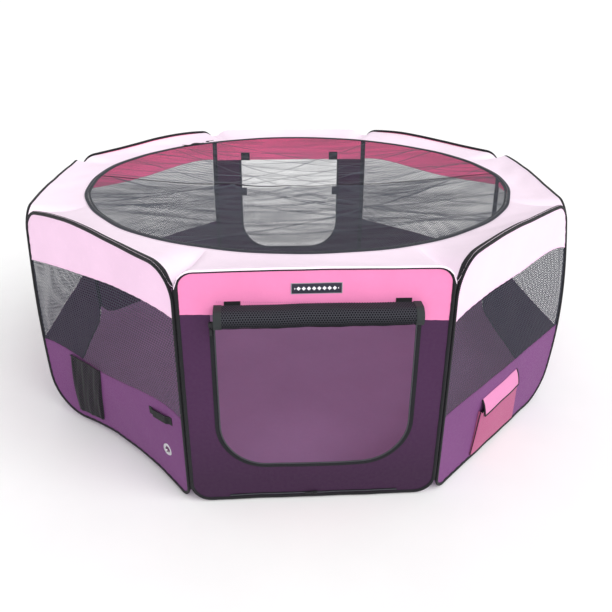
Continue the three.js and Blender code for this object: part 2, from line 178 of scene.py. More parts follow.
def place(panel, x, z, depth):
    """Points of a panel, given across, up and outward, with the fabric's tension added."""
    x, z, depth = np.broadcast_arrays(*(np.asarray(value, float) for value in (x, z, depth)))
    top, bottom, foot, belly, sway = (MM * value for value in TENSION[panel])
    outward, rightward = panel_axes(panel)
    index = PANELS.index(panel)
    across, height = clip(x / HALF, -1, 1), clip(z / PANEL_TOP, 0, 1)
    middle = 1 - across ** 2
    up = middle * (top * height ** 3 + bottom * (1 - height) ** 3) + sway * sin(pi * across) * height ** 3
    out = (belly * cos(pi * across / 2) * sin(pi * height) - foot * middle * (1 - height) ** 2
           + ripple(panel, x, z) * middle)
    points = outward * (APOTHEM + depth + out)[..., None] + rightward * x[..., None]
    points[..., 2] += z + up
    for side, corner in ((-1, index - 1), (1, index)):
        lean = CORNER_BOW[corner] * sin(pi * height) + CORNER_LEAN[corner] * height ** 2
        turn = radians(-67.5 + 45 * corner)
        pull = ((1 + side * across) / 2) ** 2 * lean * MM
        points[..., 0] += cos(turn) * pull
        points[..., 1] += sin(turn) * pull
    return points


# ---- Meshes from grids of points ----
def new_object(name, vertices, faces, texture=None):
    mesh = bpy.data.meshes.new(name)
    mesh.from_pydata([tuple(v) for v in vertices], [], faces)
    if texture is not None:
        mesh.uv_layers.new(name="UVMap").data.foreach_set("uv", np.array(texture, np.float32).ravel())
    obj = bpy.data.objects.new(name, mesh)
    bpy.context.scene.collection.objects.link(obj)
    return obj


def grid_object(name, points, uv, wrap_rows=False, wrap_columns=False, skip=None):
    """A mesh over rows and columns of points. A wrapped direction repeats its first line as its last."""
    rows, columns = points.shape[:2]
    used_rows, used_columns = rows - wrap_rows, columns - wrap_columns
    uv = np.stack([np.broadcast_to(value, (rows, columns)) for value in uv], axis=-1)
    faces, texture = [], []
    for r in range(rows - 1):
        for c in range(columns - 1):
            if skip is None or not skip[r, c]:
                corners = ((r, c), (r, c + 1), (r + 1, c + 1), (r + 1, c))
                faces.append([i % used_rows * used_columns + j % used_columns for i, j in corners])
                texture.extend(uv[corner] for corner in corners)
    obj = new_object(name, points[:used_rows, :used_columns].reshape(-1, 3), faces, texture)
    obj.data.shade_smooth()
    return obj


def bake(obj):
    """Makes the modifiers' result the object's own mesh."""
    bpy.context.view_layer.update()
    old = obj.data
    mesh = bpy.data.meshes.new_from_object(obj.evaluated_get(bpy.context.evaluated_depsgraph_get()))
    obj.modifiers.clear()
    obj.data = mesh
    mesh.name = obj.name
    bpy.data.meshes.remove(old)
    return obj


def finish_piece(obj, body, material, slot, *nodes):
    """Material, body and replaced CAD nodes of one piece. The slot is not used."""
    if material.name not in [m.name for m in obj.data.materials if m]:
        obj.data.materials.append(material)
    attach(obj, body)
    if nodes:
        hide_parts(*nodes)
    return obj


def sheet_object(name, points, uv, material, thickness, backing=None, **grid):
    """A sheet with its thickness, and another cloth on its inner face if one is named."""
    obj = grid_object(name, points, uv, **grid)
    obj.data.materials.append(material)
    solid = obj.modifiers.new("thickness", "SOLIDIFY")
    solid.thickness = thickness
    solid.offset = 0
    if backing is not None:
        obj.data.materials.append(backing)
        solid.material_offset = 1
    bake(obj)
    obj.data.set_sharp_from_angle(angle=radians(50))
    return obj


def sewn(name, body, points, uv, material, slot, *nodes, thickness=CLOTH_THICKNESS, **sheet):
    """A finished sheet: mesh, thickness, material, body and replaced CAD nodes. The slot is not used."""
    obj = sheet_object(name, points, uv, material, thickness, **sheet)
    return finish_piece(obj, body, material, slot, *nodes)


def joined(name, parts):
    """One mesh from several objects."""
    bpy.ops.object.select_all(action="DESELECT")
    for part in parts:
        part.select_set(True)
    bpy.context.view_layer.objects.active = parts[0]
    bpy.ops.object.join()
    parts[0].name = name
    parts[0].data.name = name
    return parts[0]


def cap_ends(obj):
    """Closes both ends of a tube."""
    bm = bmesh.new()
    bm.from_mesh(obj.data)
    bmesh.ops.holes_fill(bm, edges=[e for e in bm.edges if e.is_boundary], sides=0)
    bmesh.ops.recalc_face_normals(bm, faces=bm.faces)
    bm.to_mesh(obj.data)
    bm.free()


# ---- Outlines: points and outward normals ----
def straight(start, end, normal, count, closed=False):
    share = column(linspace(0, 1, count, endpoint=closed))
    return np.array(start) + share * np.subtract(end, start), np.tile(normal, (count, 1))


def quarter(x, z, radius, first, count):
    angle = first + pi / 2 * np.arange(count) / count
    normal = np.stack([cos(angle), sin(angle)], 1)
    return np.array([x, z]) + radius * normal, normal


def chained(pieces):
    return [np.concatenate(parts).astype(float) for parts in zip(*pieces)]


def rounded_outline(half, low, high, radii, step=GRID_STEP, arc_steps=14):
    """Once round a rounded rectangle, the first point repeated as the last."""
    low_left, low_right, high_left, high_right = radii

    def run(start, end, normal):
        return straight(start, end, normal, max(2, int(hypot(*np.subtract(end, start)) / step)))

    points, normals = chained([
        run((low_left - half, low), (half - low_right, low), (0, -1)),
        quarter(half - low_right, low + low_right, low_right, -pi / 2, arc_steps),
        run((half, low + low_right), (half, high - high_right), (1, 0)),
        quarter(half - high_right, high - high_right, high_right, 0, arc_steps),
        run((half - high_right, high), (high_left - half, high), (0, 1)),
        quarter(high_left - half, high - high_left, high_left, pi / 2, arc_steps),
        run((-half, high - high_left), (-half, low + low_left), (-1, 0)),
        quarter(low_left - half, low + low_left, low_left, pi, arc_steps),
    ])
    return np.vstack([points, points[:1]]), np.vstack([normals, normals[:1]])


def u_line(half, low, top, radius, leg_steps=40, arc_steps=18):
    """Down, across and up a U with round lower corners."""
    return chained([
        straight((-half, top), (-half, low + radius), (-1, 0), leg_steps),
        quarter(radius - half, low + radius, radius, pi, arc_steps),
        straight((radius - half, low), (half - radius, low), (0, -1), leg_steps),
        quarter(half - radius, low + radius, radius, 1.5 * pi, arc_steps),
        straight((half, low + radius), (half, top), (1, 0), leg_steps, True),
    ])


def inward(line, distance):
    """Across and up positions of an outline moved against its normals."""
    base, normal = line
    return [base[:, axis] - normal[:, axis] * distance for axis in (0, 1)]


def lengths_along(points):
    return np.concatenate([[0], np.cumsum(np.linalg.norm(np.diff(points, axis=0), axis=1))])


# ---- Material building ----
class Shader:
    """A material's node tree with short ways to add and link nodes."""

    def __init__(self, name):
        self.material = bpy.data.materials.new(name)
        self.material.use_nodes = True
        self.tree = self.material.node_tree
        self.surface = self.tree.nodes["Principled BSDF"]

    def feed(self, socket, value):
        if isinstance(value, bpy.types.NodeSocket):
            self.tree.links.new(value, socket)
        else:
            socket.default_value = value

    def add(self, kind, sockets, output=0, **settings):
        """Adds a node, feeds its sockets and returns one output."""
        node = self.tree.nodes.new("ShaderNode" + kind)
        for key, value in settings.items():
            setattr(node, key, value)
        for key, value in sockets.items():
            self.feed(node.inputs[key], value)
        return node.outputs[output]

    def math(self, operation, first, second=0.0):
        return self.add("Math", {0: first, 1: second}, operation=operation)

    def times(self, first, second):
        return self.math("MULTIPLY", first, second)

    def away(self, value, middle=0.0):
        return self.math("ABSOLUTE", self.math("SUBTRACT", value, middle))

    def vector(self, operation, first, second=(0, 0, 0)):
        output = "Value" if operation in ("LENGTH", "DOT_PRODUCT") else "Vector"
        return self.add("VectorMath", {0: first, 1: second}, output, operation=operation)

    def uv(self):
        return self.add("UVMap", {}, "UV", uv_map="UVMap")

    def place(self):
        return self.add("TexCoord", {}, "Object")

    def split(self, vector):
        return self.add("SeparateXYZ", {0: vector}).node.outputs

    def noise(self, coordinates, scale, detail=3.0, roughness=0.55):
        return self.add("TexNoise", {"Vector": coordinates, "Scale": scale, "Detail": detail,
                                     "Roughness": roughness}, "Fac")

    def ramp(self, value, low=0.0, high=1.0, start=0.3, end=0.7):
        return self.add("MapRange", {"Value": value, "From Min": start, "From Max": end, "To Min": low,
                                     "To Max": high}, "Result")

    def mix(self, factor, first, second):
        return self.add("Mix", {"Factor": factor, "A": first, "B": second}, "Result", data_type="RGBA")

    def bump(self, height, distance, strength=1.0, **below):
        sockets = {"Height": height, "Distance": distance, "Strength": strength, **below}
        return self.add("Bump", sockets, "Normal")

    def wave(self, coordinate, period):
        return self.math("SINE", self.times(coordinate, 2 * pi / period))

    def finish(self, color, roughness, sheen=0.0, sheen_roughness=0.5, gloss=0.5, metallic=0.0, glow=0.0,
               **rest):
        """Feeds the surface and returns the material. What is not named keeps its usual value."""
        sockets = {"Base Color": color, "Roughness": roughness, "Sheen Weight": sheen, "Metallic": metallic,
                   "Sheen Roughness": sheen_roughness, "Specular IOR Level": gloss, "Emission Strength": glow}
        for key, value in {**sockets, **rest}.items():
            self.feed(self.surface.inputs[key], value)
        return self.material


def srgb(color):
    """Linear colour of an 8-bit display colour."""
    share = np.array(color) / 255
    linear = where(share <= 0.04045, share / 12.92, ((share + 0.055) / 1.055) ** 2.4)
    return (*linear.tolist(), 1.0)


def shaded(color, share):
    return tuple(c * share for c in color[:3]) + (1.0,)


def oxford_cloth(name, color, roughness=0.75, glow=0.0, foot=1.0):
    """Coated plain-weave cloth: woven relief, uneven dye, soft creases and a worn, paler bloom.
    Its glow is the daylight that thin cloth lets through from behind; foot is painted shade,
    how far the cloth darkens towards the ground."""
    s = Shader(name)
    color, uv, thread = srgb(color), s.uv(), 0.9 * MM
    across, along = s.split(uv)[:2]
    worn = s.ramp(s.noise(uv, 38.0, 6.0, 0.7), 0.0, 0.35, 0.55, 0.8)
    base = s.mix(s.ramp(s.noise(s.place(), 4.5, 4.0)), shaded(color, 0.90), color)
    base = s.mix(s.ramp(s.noise(uv, 900.0, 2.0), 0.0, 0.16, 0.35, 0.65), base, shaded(color, 0.72))
    base = s.mix(worn, base, shaded(color, 1.06))
    # Painted shade: the cloth darkens towards the ground by the foot share.
    if foot < 1:
        base = s.mix(s.ramp(along, 0.0, 1.0, 60 * MM, 260 * MM), shaded(color, foot), base)
    if glow:
        s.feed(s.surface.inputs["Emission Color"], base)
    weave = s.times(s.wave(across, thread), s.wave(along, thread))
    crease = s.bump(s.noise(s.place(), 14.0, 5.0, 0.5), 4.0 * MM, 0.35)
    rough = s.ramp(s.noise(uv, 120.0), roughness - 0.08, roughness + 0.08)
    relief = s.bump(weave, 0.12 * MM, 0.55, Normal=crease)
    return s.finish(base, rough, 0.05, 0.4, 0.3, glow=glow, Normal=relief)


def net_cloth(name, pitch, open_share, color, creases=(), underside_shade=1.0, gloss=0.3):
    """Knitted net: dark threads round six-sided holes that light passes through.
    Along its creases, each an angle and a distance from the middle, the net is gathered and denser.
    On a roll the lower side is painted darker: painted shade."""
    s = Shader(name)
    color, uv, tall = srgb(color), s.uv(), np.sqrt(3.0)
    scaled = s.vector("DIVIDE", uv, (pitch, pitch * tall, pitch))
    lattices = []
    for shift in (0.0, 0.5):
        moved = s.vector("FRACTION", s.vector("ADD", scaled, (shift, shift, 0.0)))
        lattices.append(s.vector("MULTIPLY", s.vector("SUBTRACT", moved, (0.5, 0.5, 0.0)), (1.0, tall, 0.0)))
    nearer = s.math("LESS_THAN", *(s.vector("LENGTH", lattice) for lattice in lattices))
    centred = s.add("Mix", {"Factor": nearer, 4: lattices[1], 5: lattices[0]}, 1, data_type="VECTOR")
    inside = s.vector("ABSOLUTE", centred)
    reach = s.math("MAXIMUM", s.vector("DOT_PRODUCT", inside, (0.5, tall / 2, 0.0)), s.split(inside)[0])
    hole = limit = 0.5 * np.sqrt(open_share)
    if creases:
        limit = s.times(s.math("SUBTRACT", 1.0, gathered(s, uv, creases)), hole)
    base = s.mix(s.ramp(s.noise(uv, 1400.0, 2.0)), color, shaded(color, 1.5))
    # Painted shade: the net darkens from a little above the roll's middle down to its bottom.
    if underside_shade < 1:
        middle = ROLL_CENTRE[1]
        lit = s.ramp(s.split(s.place())[2], 0.0, 1.0, middle - ROLL_RADIUS, middle + 0.5 * ROLL_RADIUS)
        base = s.mix(lit, shaded(color, underside_shade), base)
    relief = s.bump(s.ramp(reach, 0.0, 1.0, hole, 0.5), 0.3 * MM, 0.6)
    s.finish(base, 0.7, gloss / 6, 0.4, gloss, Normal=relief)
    surface = s.add("MixShader", {0: s.math("GREATER_THAN", reach, limit), 1: s.add("BsdfTransparent", {}),
                                  2: s.surface.outputs[0]})
    s.feed(s.tree.nodes["Material Output"].inputs["Surface"], surface)
    return s.material


def gathered(s, uv, creases):
    """0 on flat net, higher where it bunches up: along its creases and in soft streaks."""
    waver = s.times(s.math("SUBTRACT", s.noise(uv, 5.0), 0.5), 9 * MM)
    nearest = 1.0
    for angle, offset, _ in creases:
        turn = radians(angle)
        across = s.vector("DOT_PRODUCT", uv, (-sin(turn), cos(turn), 0.0))
        away = s.math("ABSOLUTE", s.math("ADD", s.math("SUBTRACT", across, offset * MM), waver))
        nearest = s.math("MINIMUM", nearest, away)
    strength = s.ramp(s.noise(uv, 4.5), 0.25, 0.8, 0.38, 0.62)
    line = s.times(s.ramp(nearest, 1.0, 0.0, 0.6 * MM, 3.0 * MM), strength)
    streaks = s.noise(s.vector("MULTIPLY", uv, (3.0, 15.0, 1.0)), 1.6, 5.0, 0.6)
    return s.math("MAXIMUM", line, s.ramp(streaks, 0.0, 0.13, 0.42, 0.68))


def ribbed_tape(name, color, rib, cross=0.0, sheen=0.06, gloss=0.3):
    """Woven tape: fine ribs, a cross weave, dusty high spots and slight fading."""
    s = Shader(name)
    color, uv = srgb(color), s.uv()
    along, across = s.split(uv)[:2]
    ribs = s.wave(along, rib)
    if cross:
        ribs = s.times(ribs, s.wave(across, cross))
    fluff = s.noise(uv, 700.0, 3.0)
    base = s.mix(s.ramp(s.noise(s.place(), 9.0, 4.0)), color, shaded(color, 1.4))
    base = s.mix(s.ramp(fluff, 0.0, 0.35, 0.5, 0.8), base, shaded(color, 2.2))
    relief = s.bump(ribs, 0.25 * MM, 0.7, Normal=s.bump(s.noise(uv, 60.0), 1.5 * MM, 0.4))
    return s.finish(base, s.ramp(fluff, 0.62, 0.85), sheen, 0.35, gloss, Normal=relief)


def zip_coil(name, color):
    """Moulded zip coil: close round teeth with a faint plastic gloss."""
    s = Shader(name)
    color = srgb(color)
    teeth = s.wave(s.split(s.uv())[0], 1.6 * MM)
    grime = s.noise(s.place(), 60.0, 3.0)
    base = s.mix(s.ramp(teeth, 0.0, 1.0, -1.0, 1.0), shaded(color, 0.35), color)
    base = s.mix(s.ramp(grime, 0.0, 0.5), base, shaded(color, 0.6))
    return s.finish(base, s.ramp(grime, 0.32, 0.5), Normal=s.bump(teeth, 0.5 * MM, 0.9))


def cast_metal(name, color, metallic, roughness):
    """Small cast or drawn metal: brushed grain, fine scratches and rubbed edges."""
    s = Shader(name)
    color = srgb(color)
    grain = s.noise(s.vector("MULTIPLY", s.place(), (1.0, 1.0, 0.06)), 2600.0, 2.0)
    scuffs = s.noise(s.place(), 240.0, 5.0, 0.7)
    base = s.mix(s.ramp(scuffs, 0.0, 0.5, 0.5, 0.75), color, shaded(color, 1.5))
    base = s.mix(s.ramp(grain, 0.0, 0.25), base, shaded(color, 0.7))
    rough = s.ramp(grain, roughness - 0.06, roughness + 0.12)
    return s.finish(base, rough, metallic=metallic, Normal=s.bump(grain, 0.05 * MM, 0.4))


def woven_label(name, half_width, half_height):
    """Damask label: dark satin ground, a pale woven edge line and a row of plain lozenges."""
    s = Shader(name)
    across, up = s.split(s.uv())[:2]
    satin = s.times(s.wave(across, 0.5 * MM), s.wave(up, 0.9 * MM))
    pitch = 11 * MM
    wrapped = s.math("FRACT", s.math("DIVIDE", s.math("ADD", across, 10 * pitch), pitch))
    from_middle, from_line = s.times(s.away(wrapped, 0.5), pitch), s.away(up)
    lozenge = s.math("LESS_THAN", s.math("ADD", from_middle, from_line), 4.6 * MM)
    row = s.times(lozenge, s.math("LESS_THAN", s.away(across), half_width * 0.86))
    side_line = s.math("GREATER_THAN", s.away(across), half_width - 1.6 * MM)
    top_line = s.math("GREATER_THAN", s.away(up), half_height - 1.4 * MM)
    pale = s.math("MAXIMUM", row, s.times(s.math("MAXIMUM", side_line, top_line), 0.35))
    uneven = s.ramp(s.noise(s.uv(), 500.0))
    ground = s.mix(uneven, srgb((18, 18, 34)), srgb((30, 28, 52)))
    white = s.mix(uneven, srgb((226, 222, 232)), srgb((250, 248, 252)))
    return s.finish(s.mix(pale, ground, white), 0.5, 0.3, 0.3, Normal=s.bump(satin, 0.08 * MM, 0.5))


HOT_PINK = oxford_cloth("hot_pink_cloth", (240, 138, 188))
PALE_PINK = oxford_cloth("pale_pink_cloth", (253, 216, 243))
# The ring is the pale pink cloth painted paler: painted light from above on the flat top.
RING_PINK_LIT = oxford_cloth("ring_pink_lit_cloth", (252, 233, 248))
BAND_BACK = oxford_cloth("band_lining", (244, 116, 164), glow=0.42)
PURPLE = oxford_cloth("purple_cloth", (117, 63, 119))
LOWER_BACK = oxford_cloth("lower_lining", (72, 44, 76))
# Its darker foot is painted shade low on the doorway surround.
DARK_PURPLE = oxford_cloth("dark_purple_cloth", (67, 33, 70), foot=0.6)
MAUVE = oxford_cloth("floor_cloth", (160, 124, 168), 0.85)
POCKET_PINK = oxford_cloth("pocket_cloth", (174, 90, 128))
FLAP_PINK = oxford_cloth("flap_cloth", (218, 137, 182))
NET = net_cloth("black_mesh", 7.4 * MM, 0.62, (58, 62, 74))
TOP_NET = net_cloth("top_mesh_net", 6.4 * MM, 0.81, (74, 77, 88), TOP_CREASES)
# The rolled net's darker lower side is painted shade under the roll.
ROLL_NET = net_cloth("rolled_mesh_net", 5.6 * MM, 0.42, (58, 58, 64), underside_shade=0.2, gloss=0.06)
# The pocket's net is near black and dense: its own dark mesh, partly painted shade inside the pocket.
POCKET_NET_SHADED = net_cloth("pocket_mesh_net_shaded", 5.4 * MM, 0.22, (24, 24, 28))
TAPE = ribbed_tape("binding_tape", (20, 20, 24), 1.1 * MM)
ZIP_TAPE = ribbed_tape("zip_tape", (20, 20, 25), 1.4 * MM, 1.4 * MM)
SLATE_TAPE = ribbed_tape("top_zip_tape_weave", (48, 51, 59), 1.4 * MM, 1.4 * MM)
HEM_TAPE = ribbed_tape("roll_hem_tape", (40, 44, 45), 1.6 * MM)
# The roll's inner turns, near black and without gloss: painted shade inside the roll.
ROLL_HEART_SHADE = ribbed_tape("roll_heart_shade_cloth", (15, 14, 18), 1.6 * MM, sheen=0.0, gloss=0.04)
WEBBING = ribbed_tape("webbing_weave", (18, 18, 21), 2.4 * MM, 1.8 * MM)
COIL = zip_coil("zip_coil_plastic", (84, 86, 94))
ENAMEL = cast_metal("zip_slider_enamel", (30, 30, 34), 0.35, 0.36)
NICKEL = cast_metal("eyelet_nickel", (204, 204, 208), 1.0, 0.26)
STEEL = cast_metal("spring_wire_steel", (150, 150, 155), 1.0, 0.3)
PINK_THREAD = ribbed_tape("pink_thread", (236, 150, 200), 0.6 * MM)
PURPLE_THREAD = ribbed_tape("purple_thread", (58, 34, 62), 0.6 * MM)
BLACK_THREAD = ribbed_tape("black_thread", (38, 38, 43), 0.6 * MM)


# ---- Swept and sewn parts of a panel ----
def tube_section(radius, steps=10):
    angles = linspace(0, 2 * pi, steps + 1)
    return np.stack([radius * cos(angles), radius * sin(angles)], 1)


def swept(name, panel, line, section, middle_depth, inset, closed=True):
    """A closed section carried along an outline on a panel. The section is across and outward."""
    points = place(panel, *inward(line, inset + section[:, :1]), middle_depth + section[:, 1:])
    uv = lengths_along(line[0]), column(lengths_along(section))
    obj = grid_object(name, points, uv, wrap_rows=True, wrap_columns=closed)
    if not closed:
        cap_ends(obj)
    return obj


def corner_cut(distance, radius):
    """How far a round corner reaches in at a distance from the edge that it rounds."""
    near = clip(radius - distance, 0, radius)
    return radius - np.sqrt(radius ** 2 - near ** 2)


def edge_cut(x, left_radius, right_radius):
    """How far a panel's outline is cut off by its rounded corners at a place across."""
    return corner_cut(PANEL_HALF - np.minimum(np.abs(x), PANEL_HALF), where(x < 0, left_radius, right_radius))


def cloth_limits(panel, z):
    """Left and right ends of a panel's cloth at a height."""
    low_left, low_right, high_left, high_right = radii_of(panel) - CLOTH_INSET
    above_foot = np.maximum(z - PANEL_LOW - CLOTH_INSET, 0)
    below_top = np.maximum(PANEL_TOP - CLOTH_INSET - z, 0)
    return (-CLOTH_HALF + corner_cut(above_foot, low_left) + corner_cut(below_top, high_left),
            CLOTH_HALF - corner_cut(above_foot, low_right) - corner_cut(below_top, high_right))


def cloth_rows(low, high):
    """Heights of a cloth's rows, closer together where the outline turns."""
    rows = list(linspace(low, high, max(4, int((high - low) / GRID_STEP))))
    closer = 60 * MM * (1 - cos(linspace(0.02, pi / 2, 12)))
    if low < 0.5 * LOWER_SEAM:
        rows += list(low + closer)
    if high > UPPER_SEAM:
        rows += list(high - closer)
    return np.array(sorted(set(round(r, 5) for r in rows)))


def pucker(x, z, low, high):
    """Small gathers in a cloth next to its sewn edges."""
    side = np.minimum(CLOTH_HALF - np.abs(x), CLOTH_HALF)
    near_side = np.exp(-np.maximum(side, 0) / (16 * MM)) * sin(2 * pi * z / (23 * MM))
    near_ends = np.exp(-np.minimum(z - low, high - z) / (14 * MM)) * sin(2 * pi * x / (27 * MM))
    return 0.55 * MM * (near_side + near_ends)


def panel_cloth(kind, panel, low, high, material, slot, node, hole=None, **sheet):
    """One cloth of a panel between two heights."""
    rows = column(cloth_rows(low, high))
    left, right = cloth_limits(panel, rows)
    share = linspace(0, 1, int(2 * CLOTH_HALF / GRID_STEP) + 1)
    x, z = left + (right - left) * share, rows + 0 * share
    if hole is not None:
        x, z, sheet["skip"] = cut_round_hole(x, z, *hole)
    points = place(panel, x, z + seam_shift(panel, x, z), CLOTH_DEPTH + pucker(x, z, low, high))
    cloth = sewn(f"{panel}_{kind}", f"{panel}_panel", points, (x, z), material, slot, f"{panel}_{node}",
                 **sheet)


def cut_round_hole(x, z, centre_x, centre_z, radius):
    """Moves the grid's nearest points onto a round hole's rim and marks the faces inside it."""
    away = hypot(x - centre_x, z - centre_z)
    inside = away < radius + 2.5 * MM
    scale = where(inside, radius / np.maximum(away, 1e-6), 1.0)
    skip = inside[:-1, :-1] & inside[1:, :-1] & inside[:-1, 1:] & inside[1:, 1:]
    return centre_x + (x - centre_x) * scale, centre_z + (z - centre_z) * scale, skip


def stitches(name, line, outward, material):
    """Separate thread stitches along a line of points, standing slightly off the cloth."""
    length, gap, width = 2.6 * MM, 1.5 * MM, 0.7 * MM
    along = lengths_along(line)
    vertices, faces, texture = [], [], []
    for start in np.arange(gap, along[-1] - length, length + gap):
        ends = [np.array([np.interp(start + k * length, along, line[:, axis]) for axis in range(3)])
                for k in (0, 0.5, 1)]
        side = np.cross(ends[2] - ends[0], outward)
        side *= width / 2 / max(np.linalg.norm(side), 1e-9)
        first = len(vertices)
        raised = ends[1] + outward * 0.45 * MM
        low = outward * 0.2 * MM
        vertices += [ends[0] - low, raised + side, raised - side, ends[1] - outward * 0.3 * MM, ends[2] - low]
        for a, b in ((1, 2), (2, 3), (3, 1)):
            faces += [[first, first + a, first + b], [first + 4, first + b, first + a]]
            texture += 2 * [(start, 0.0), (start + length, 0.0), (start, width)]
    obj = new_object(name, vertices, faces, texture)
    obj.data.materials.append(material)
    return obj


def sewn_lines(kind, panel, lines, material, slot):
    """Stitch rows along lines given on a panel as across, up and depth."""
    outward, _ = panel_axes(panel)
    parts = [stitches(f"row_{index}", place(panel, x, z + seam_shift(panel, x, z), depth), outward, material)
             for index, (x, z, depth) in enumerate(lines)]
    finish_piece(joined(f"{panel}_{kind}", parts), f"{panel}_panel", material, slot)


# ---- Panels ----
def make_binding(panel):
    line = rounded_outline(PANEL_HALF, PANEL_LOW, PANEL_TOP, radii_of(panel))
    low_depth, high_depth = BINDING_DEPTHS
    thickness = high_depth - low_depth
    section, _ = rounded_outline(BINDING_WIDTH / 2, -thickness / 2, thickness / 2, (2.4 * MM,) * 4,
                                 BINDING_WIDTH / 2, 3)
    # The tape's free edges are pressed flat against the cloth; only the wire's side stays round.
    section[:, 1] *= 1 - 0.45 * clip(section[:, 0] / (BINDING_WIDTH / 2), 0, 1)
    middle = (low_depth + high_depth) / 2
    tape = swept(f"{panel}_edge_binding", panel, line, section, middle, BINDING_WIDTH / 2)
    finish_piece(tape, f"{panel}_panel", TAPE, "binding_tape", f"{panel}_binding")
    wire = swept(f"{panel}_spring_wire", panel, line, tube_section(WIRE_RADIUS, 8), CLOTH_DEPTH, WIRE_INSET)
    finish_piece(wire, f"{panel}_panel", STEEL, "spring_wire", f"{panel}_frame_wire")
    x, z = inward(line, BINDING_WIDTH - 2.2 * MM)
    sewn_lines("binding_stitches", panel, [(x, z, high_depth - 1.1 * MM)], BLACK_THREAD, "binding_tape")


def make_upper_band(panel):
    color, slot = (HOT_PINK, "hot_pink_cloth") if panel in DOORS else (PALE_PINK, "pale_pink_cloth")
    panel_cloth("band_cloth", panel, UPPER_SEAM, CLOTH_TOP, color, slot, "upper_band", backing=BAND_BACK)


def make_window_panel(panel):
    hole = [EYELET[key] * MM for key in ("x", "z", "hole")] if panel == "front_left" else None
    panel_cloth("window_net", panel, LOWER_SEAM, UPPER_SEAM, NET, "black_mesh", "window_mesh",
                thickness=MESH_THICKNESS)
    panel_cloth("lower_cloth", panel, CLOTH_LOW, LOWER_SEAM, PURPLE, "purple_cloth", "lower_band", hole,
                backing=LOWER_BACK)
    x = linspace(-1, 1, 90) * (PANEL_HALF - BINDING_WIDTH)
    for kind, height, thread, slot in (
            ("band_stitches", UPPER_SEAM + 3 * MM, PINK_THREAD, "pale_pink_cloth"),
            ("lower_stitches", LOWER_SEAM - 3 * MM, PURPLE_THREAD, "purple_cloth")):
        sewn_lines(kind, panel, [(x, np.full_like(x, height), CLOTH_DEPTH + 0.9 * MM)], thread, slot)


def make_surround(panel, half, low):
    """The cloth between the doorway's zip and the panel's edge."""
    lap = TAPE_WIDTH - TAPE_LAP
    inner, _ = u_line(half + lap, low - lap, UPPER_SEAM, DOOR_RADIUS + lap)
    outer, _ = u_line(CLOTH_HALF, CLOTH_LOW, UPPER_SEAM, radii_of(panel)[0] - CLOTH_INSET)
    share = column(linspace(0, 1, 12))
    x, z = (inner[:, axis] * (1 - share) + outer[:, axis] * share for axis in (0, 1))
    depth = CLOTH_DEPTH + 0.5 * MM * sin(x / (9 * MM)) * sin(z / (11 * MM)) * share ** 2
    points = place(panel, x, z + seam_shift(panel, x, z), depth)
    cloth = sewn(f"{panel}_surround_cloth", f"{panel}_panel", points, (x, z), DARK_PURPLE,
                 "dark_purple_cloth", f"{panel}_door_surround")


def make_door_zip(panel, half, low):
    line = u_line(half, low, UPPER_SEAM, DOOR_RADIUS)
    offsets = column(linspace(0, -TAPE_WIDTH, 5))
    sewn(f"{panel}_door_tape", f"{panel}_panel", place(panel, *inward(line, offsets), TAPE_DEPTH),
         (lengths_along(line[0]), -offsets), ZIP_TAPE, "zip_tape", f"{panel}_door_zip_tape")
    coil = swept(f"{panel}_door_coil", panel, line, tube_section(COIL_RADIUS), TAPE_DEPTH + 1.1 * MM,
                 1.2 * MM, closed=False)
    finish_piece(coil, f"{panel}_panel", COIL, "zip_tape")
    rows = [(*inward(line, offset), TAPE_DEPTH + 0.7 * MM) for offset in (-4.5 * MM, -8.6 * MM)]
    sewn_lines("door_stitches", panel, rows, BLACK_THREAD, "zip_tape")


def spiral(start_radius, end_radius, count):
    """Section of a rolled door: a flat flap over the top of the roll, then turns that wind inward."""
    depth, height = ROLL_CENTRE
    flap = np.stack([linspace(CLOTH_DEPTH + 2.5 * MM, depth, 8, endpoint=False),
                     np.full(8, height + start_radius)], 1)
    angle = linspace(0, 4.8 * pi, count)
    radius = linspace(start_radius, end_radius, count)
    return np.concatenate([flap, np.stack([depth + radius * sin(angle), height + radius * cos(angle)], 1)])


def rolled_sheet(name, panel, section, left, right, columns, sag, material, thickness):
    """A rolled cloth: the section runs down the rows, its length across the columns."""
    x = linspace(left, right, columns)
    along = lengths_along(section)
    slack = (sag * sin(pi * (x - left) / (right - left)) + 0.7 * MM * sin(x / (19 * MM))
             + 0.5 * MM * sin(x / (7.3 * MM) + 1.0))
    z = section[:, 1:] - slack * column(clip(along / along[-1] * 2.5, 0, 1))
    return sheet_object(name, place(panel, x, z, section[:, :1]), (x, column(along)), material, thickness)


def make_door_roll(panel, left, right):
    body = f"{panel}_door"
    section = spiral(ROLL_RADIUS - 0.6 * MM, 13 * MM, 110)
    roll = rolled_sheet(f"{panel}_rolled_door", panel, section, left + 3 * MM, right - 3 * MM, 90, 1.5 * MM,
                        ROLL_NET, MESH_THICKNESS)
    finish_piece(roll, body, ROLL_NET, "black_mesh", f"{panel}_door_roll")
    # Its inner turns are a near-black sheet, painted shade inside the roll.
    heart = rolled_sheet(f"{panel}_roll_heart", panel, spiral(ROLL_RADIUS - 2.2 * MM, 3 * MM, 90),
                         left + 3.5 * MM, right - 3.5 * MM, 50, 1.5 * MM, ROLL_HEART_SHADE, 1.6 * MM)
    finish_piece(heart, body, ROLL_HEART_SHADE, "black_mesh")
    section = spiral(ROLL_RADIUS, 13 * MM, 110)
    ends = [rolled_sheet("hem", panel, section, a, a + 17 * MM, 6, 0.0, HEM_TAPE, 1.6 * MM)
            for a in (left, right - 17 * MM)]
    finish_piece(joined(f"{panel}_roll_hems", ends), body, HEM_TAPE, "black_mesh")
    seam = linspace(left + 4 * MM, right - 4 * MM, 80)
    z = np.full_like(seam, ROLL_CENTRE[1] + ROLL_RADIUS)
    points = place(panel, seam, z + seam_shift(panel, seam, z), 10 * MM)
    line = joined(f"{panel}_roll_stitches", [stitches("row", points, panel_axes(panel)[0], BLACK_THREAD)])
    finish_piece(line, body, BLACK_THREAD, "black_mesh")


